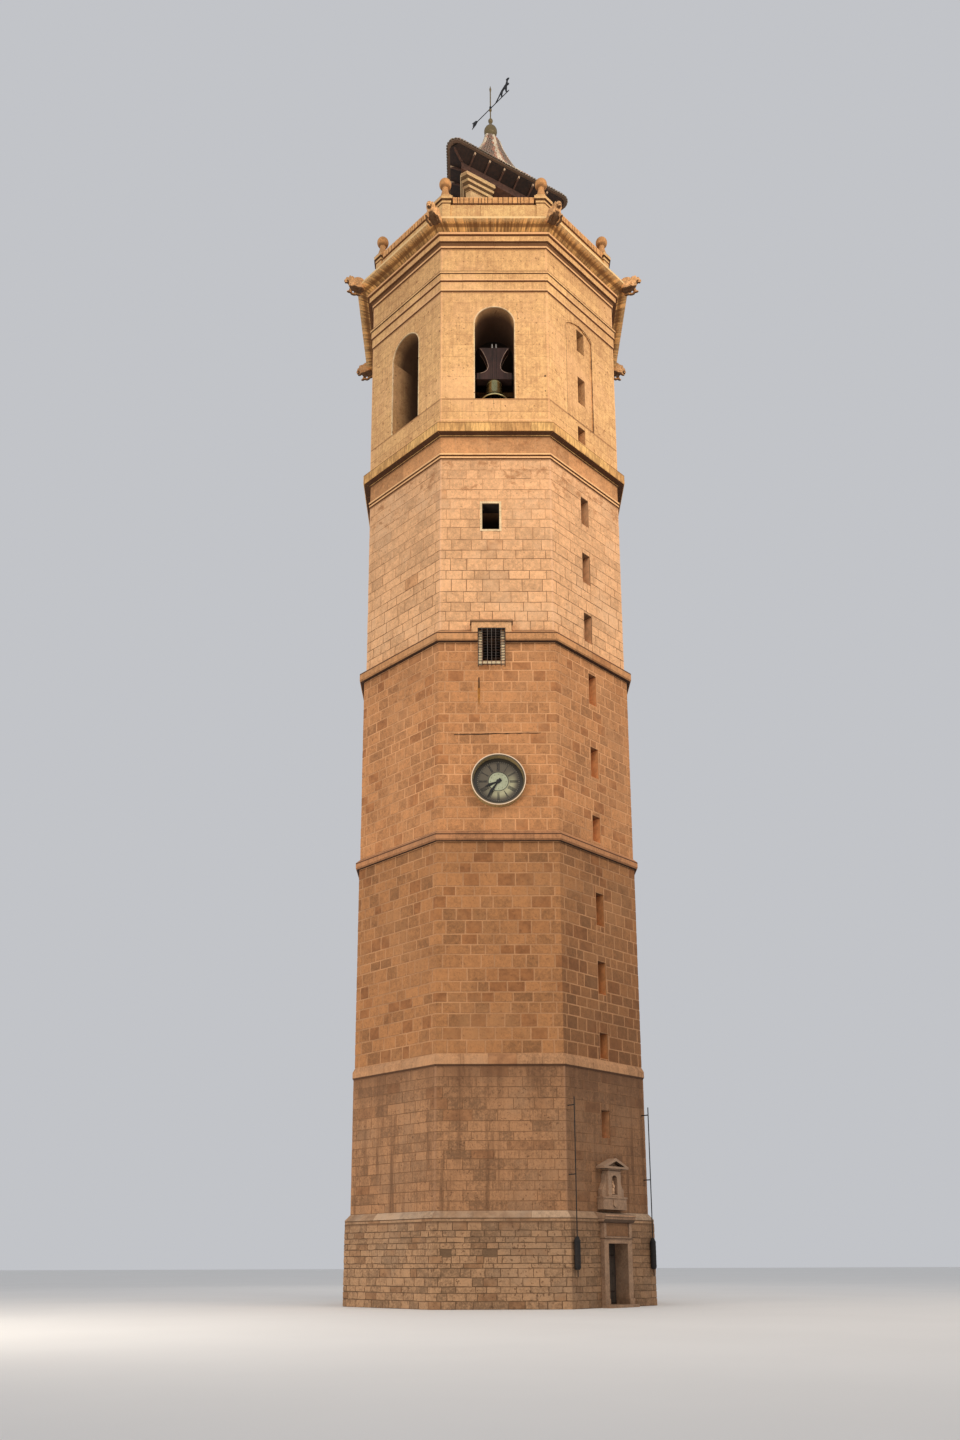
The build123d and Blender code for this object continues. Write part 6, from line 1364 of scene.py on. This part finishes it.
class TOWER_OT_roof(bpy.types.Operator):
    """Tile the pavilion's roof and finish its eaves, piers and finial"""

    bl_idname = "tower.roof"
    bl_label = "Roof"

    def execute(self, context):
        stone, roof = context.scene.tower_stone, context.scene.tower_roof
        dice = random.Random(stone.seed + 3)
        glazed = tile_paint("glazed_tiles", roof)
        tiles, ridges = Build(), Build()
        rise = 0.02
        while rise < ROOF_TOP:
            drop = 0.05
            slope = atan2(drop, max(roof_size(rise)[0] - roof_size(rise + drop)[0], 0.001))
            step = roof.course * sin(slope) if rise > 0.05 else 0.05
            self.lay_row(tiles, rise, min(rise + step * 1.15, LAST_HEAD), roof.tile, dice)
            rise += max(step, 0.02)
        for side in range(3):
            self.lay_ridge(ridges, 120 * side, True)
            self.lay_ridge(ridges, 120 * side + 60, False)
        tiles.piece("roof_tiles", glazed, "roof_tiles", smooth=True)
        ridges.piece("ridge_tiles", glazed, "roof_tiles", smooth=True)
        even = (1.0, 1.0, 1.0)
        paint_nodes(mortar_paint("roof_bed", (0.16, 0.10, 0.065)), "pavilion_roof")
        # The boards' near-black timber is partly painted shade under the eaves; the struts are a copy of it
        # made brighter with painted light, and their ends a painted highlight.
        paint_nodes(wood_paint("eaves_timber", roof.timber, even), "eaves_boards")
        paint_nodes(wood_paint("strut_timber", scaled(roof.timber, 3.5), even, (27.42, 27.44)),
                    "eaves_struts")
        paint_nodes(wood_paint("lintel_timber", scaled(roof.timber, 4.0), even), "pavilion_lintels")
        paint_nodes(stone_paint("pavilion_stone", tinted(stone.bell, 1.15, 1.2, 1.35), runs=0.15, pits=0.2,
                                under=0.85), "pavilion_piers", "pavilion_capitals")
        finial = context.scene.tower_metal.finial
        paint_nodes(metal_paint("finial_paint", finial, (0.1, 0.09, 0.05), 0.2, 0.4), "roof_finial")
        return {"FINISHED"}

    def glaze(self, share, dice):
        """Cream beside the hips and down the middle of a side, then red, then dark."""
        if share < 0.18 or share > 0.9:
            return 0.85 + dice.uniform(-0.08, 0.1)
        if share < 0.36 or share > 0.8:
            return 0.4 + dice.uniform(-0.08, 0.08)
        return 0.05 + dice.uniform(0, 0.12)

    def lay_row(self, build, low, high, pitch, dice):
        """A row of hollow tiles round the roof between two heights. The lowest is cream, with dark ends."""
        eaves = low < 0.07
        upper = roof_ring(high)
        spots, width = walk(roof_ring(low), pitch)
        total = sum((upper[i][0] - upper[i - 1][0]).length for i in range(len(upper)))
        top_spots, _ = walk(upper, total / len(spots))
        for (foot, share, along), (head, _, _) in zip(spots, top_spots):
            outward = along.cross(head - foot).normalized()
            if outward.x * foot.x + outward.y * foot.y < 0:
                outward.negate()
            tone = self.glaze(share, dice)
            lift = dice.uniform(0.0, 0.003)
            rows = [[end + along * cos(turn) * width * size
                     + outward * (raised + lift + sin(turn) * width * 0.3)
                     for turn in (pi * k / 4 for k in range(5))]
                    for end, raised, size in ((foot, 0.016, 0.5), (head, 0.004, 0.44))]
            under = [point - outward * 0.012 for point in rows[0]]
            if eaves:
                build.grid([under, rows[0]], 0.0)
                build.grid(rows, 0.8)
            else:
                build.grid([under, *rows], tone)

    def lay_ridge(self, build, angle, at_hip):
        """A line of cream ridge tiles up a hip, or up the middle of a side."""
        turn = Matrix.Rotation(radians(angle), 3, "Z")
        across = Vector((0, 1, 0))
        wide = 0.05 if at_hip else 0.036
        rise = 0.03
        while rise < ROOF_TOP:
            step = 0.075 if rise > 0.5 else 0.045
            ends = []
            for height in (rise, rise + step * 1.1):
                half, hip, _ = roof_size(height)
                ends.append(Vector((hip if at_hip else half, 0, ROOF_BASE + height)))
            outward = (ends[1] - ends[0]).normalized().cross(across).normalized()
            if outward.x < 0:
                outward.negate()
            rows = []
            for end, size, raised in ((ends[0], 1.0, 0.02), (ends[1], 0.85, 0.008)):
                rows.append([turn @ (end + across * cos(pi * k / 6) * wide * size
                                     + outward * (raised + sin(pi * k / 6) * wide * 0.7 * size - 0.012))
                             for k in range(7)])
            under = [point - turn @ outward * 0.012 for point in rows[0]]
            build.grid([under, *rows], 0.88)
            rise += step


class TOWER_OT_metalwork(bpy.types.Operator):
    """Finish the weather vane, the rods on the wall and the floors"""

    bl_idname = "tower.metalwork"
    bl_label = "Metalwork"

    def execute(self, context):
        iron = context.scene.tower_metal.iron
        vane_iron = metal_paint("vane_iron", (0.012, 0.014, 0.02), (0.05, 0.04, 0.03), 0.5, 0.45)
        paint_nodes(vane_iron, "weather_vane")
        rod_iron = metal_paint("rod_iron", scaled(iron, 0.4), (0.03, 0.018, 0.012), 0.1, 0.7)
        paint_nodes(rod_iron, "wall_rods")
        rings = Build()
        for side in (-1.148, 1.114):
            foot = on_wall(DOORWAY, 3.08, side, 0.0)
            for height in [0.74 + 0.09 * k for k in range(6)]:
                rings.lathe([(0.053, height - 0.008), (0.059, height - 0.006), (0.059, height + 0.006),
                             (0.053, height + 0.008)], foot.x, foot.y, 20)
        rings.piece("rod_bands", rod_iron, "iron", smooth=True)
        paint_nodes(stone_paint("floor_stone", (0.3, 0.2, 0.12), under=0.97), "floors")
        return {"FINISHED"}


class TOWER_OT_studio(bpy.types.Operator):
    """Add the floor, the lights and the camera"""

    bl_idname = "tower.studio"
    bl_label = "Studio"

    def execute(self, context):
        scene, studio = context.scene, context.scene.tower_studio
        reach = 150.0
        mesh = bpy.data.meshes.new("floor")
        mesh.from_pydata([(-reach, -reach, 0), (reach, -reach, 0), (reach, reach, 0), (-reach, reach, 0)], [],
                         [(0, 1, 2, 3)])
        ground = bpy.data.objects.new("floor", mesh)
        scene.collection.objects.link(ground)
        paint = Paint("floor_paint")
        mottle = paint.spread(paint.noise(paint.place(), 0.3, 3.0), 0.3, 0.7)
        paint.finish(Base_Color=paint.mix(mottle, scaled(studio.floor, 0.97), studio.floor), Roughness=0.9)
        mesh.materials.append(paint.material)
        world = bpy.data.worlds.new("studio")
        world.use_nodes = True
        scene.world = world
        sky = world.node_tree.nodes["Background"]
        sky.inputs["Color"].default_value = (*studio.backdrop, 1)
        sky.inputs["Strength"].default_value = studio.fill
        scene.view_settings.view_transform = "Standard"
        # Lights: share of the main light's power, size, place, target, colour
        for name, share, size, place, target, tint in (
                ("key", 1.0, 8.0, (13, -13, 20), (0, 0, 15), (1.0, 0.86, 0.7)),
                ("front", 0.4, 8.0, (0, -17, 23), (0, 0, 17), (1.0, 0.9, 0.78)),
                ("low", 0.66, 7.0, (-11, -12, 6), (0, 0, 8), (1.0, 0.9, 0.78)),
                ("back", 0.35, 12.0, (-4, 20, 16), (0, 0, 12), (1.0, 0.95, 0.9))):
            light = bpy.data.lights.new(name, "AREA")
            light.energy, light.size, light.color = studio.key * share, size, tint
            lamp = bpy.data.objects.new(name, light)
            lamp.location = place
            lamp.rotation_euler = (Vector(target) - Vector(place)).to_track_quat("-Z", "Y").to_euler()
            scene.collection.objects.link(lamp)
        camera = bpy.data.cameras.new("camera")
        camera.sensor_width, camera.lens, camera.shift_y, camera.clip_end = 36.0, 28.775, 0.18257, 600.0
        eye = bpy.data.objects.new("camera", camera)
        eye.location = (-0.45488, -24.21319, 0.805)
        eye.rotation_euler = (radians(103.68), radians(0.1943), radians(-0.1827))
        scene.collection.objects.link(eye)
        scene.camera = eye
        return {"FINISHED"}


class TOWER_PT_panel(bpy.types.Panel):
    """Sizes, colours and steps of the bell tower"""

    bl_label = "Bell tower"
    bl_space_type = "VIEW_3D"
    bl_region_type = "UI"
    bl_category = "Bell tower"

    def draw(self, context):
        for name, group in GROUPS.items():
            box = self.layout.box()
            for key in group.__annotations__:
                box.prop(getattr(context.scene, name), key)
        for operator in OPERATORS:
            self.layout.operator(operator.bl_idname)


OPERATORS = (TOWER_OT_stonework, TOWER_OT_mouldings, TOWER_OT_parapet, TOWER_OT_gargoyles, TOWER_OT_doorway,
             TOWER_OT_windows, TOWER_OT_clock, TOWER_OT_bell, TOWER_OT_roof, TOWER_OT_metalwork,
             TOWER_OT_studio)
GROUPS = {"tower_stone": StoneSettings, "tower_roof": RoofSettings, "tower_metal": MetalSettings,
          "tower_studio": StudioSettings}
CLASSES = (*GROUPS.values(), *OPERATORS, TOWER_PT_panel)


def register():
    for kind in CLASSES:
        bpy.utils.register_class(kind)
    for name, group in GROUPS.items():
        setattr(bpy.types.Scene, name, PointerProperty(type=group))


def unregister():
    for name in GROUPS:
        delattr(bpy.types.Scene, name)
    for kind in reversed(CLASSES):
        bpy.utils.unregister_class(kind)


def main():
    register()
    bpy.ops.tower.stonework()
    bpy.ops.tower.mouldings()
    bpy.ops.tower.parapet()
    bpy.ops.tower.gargoyles()
    bpy.ops.tower.doorway()
    bpy.ops.tower.windows()
    bpy.ops.tower.clock()
    bpy.ops.tower.bell()
    bpy.ops.tower.roof()
    bpy.ops.tower.metalwork()
    bpy.ops.tower.studio()


if __name__ == "__main__":
    main()
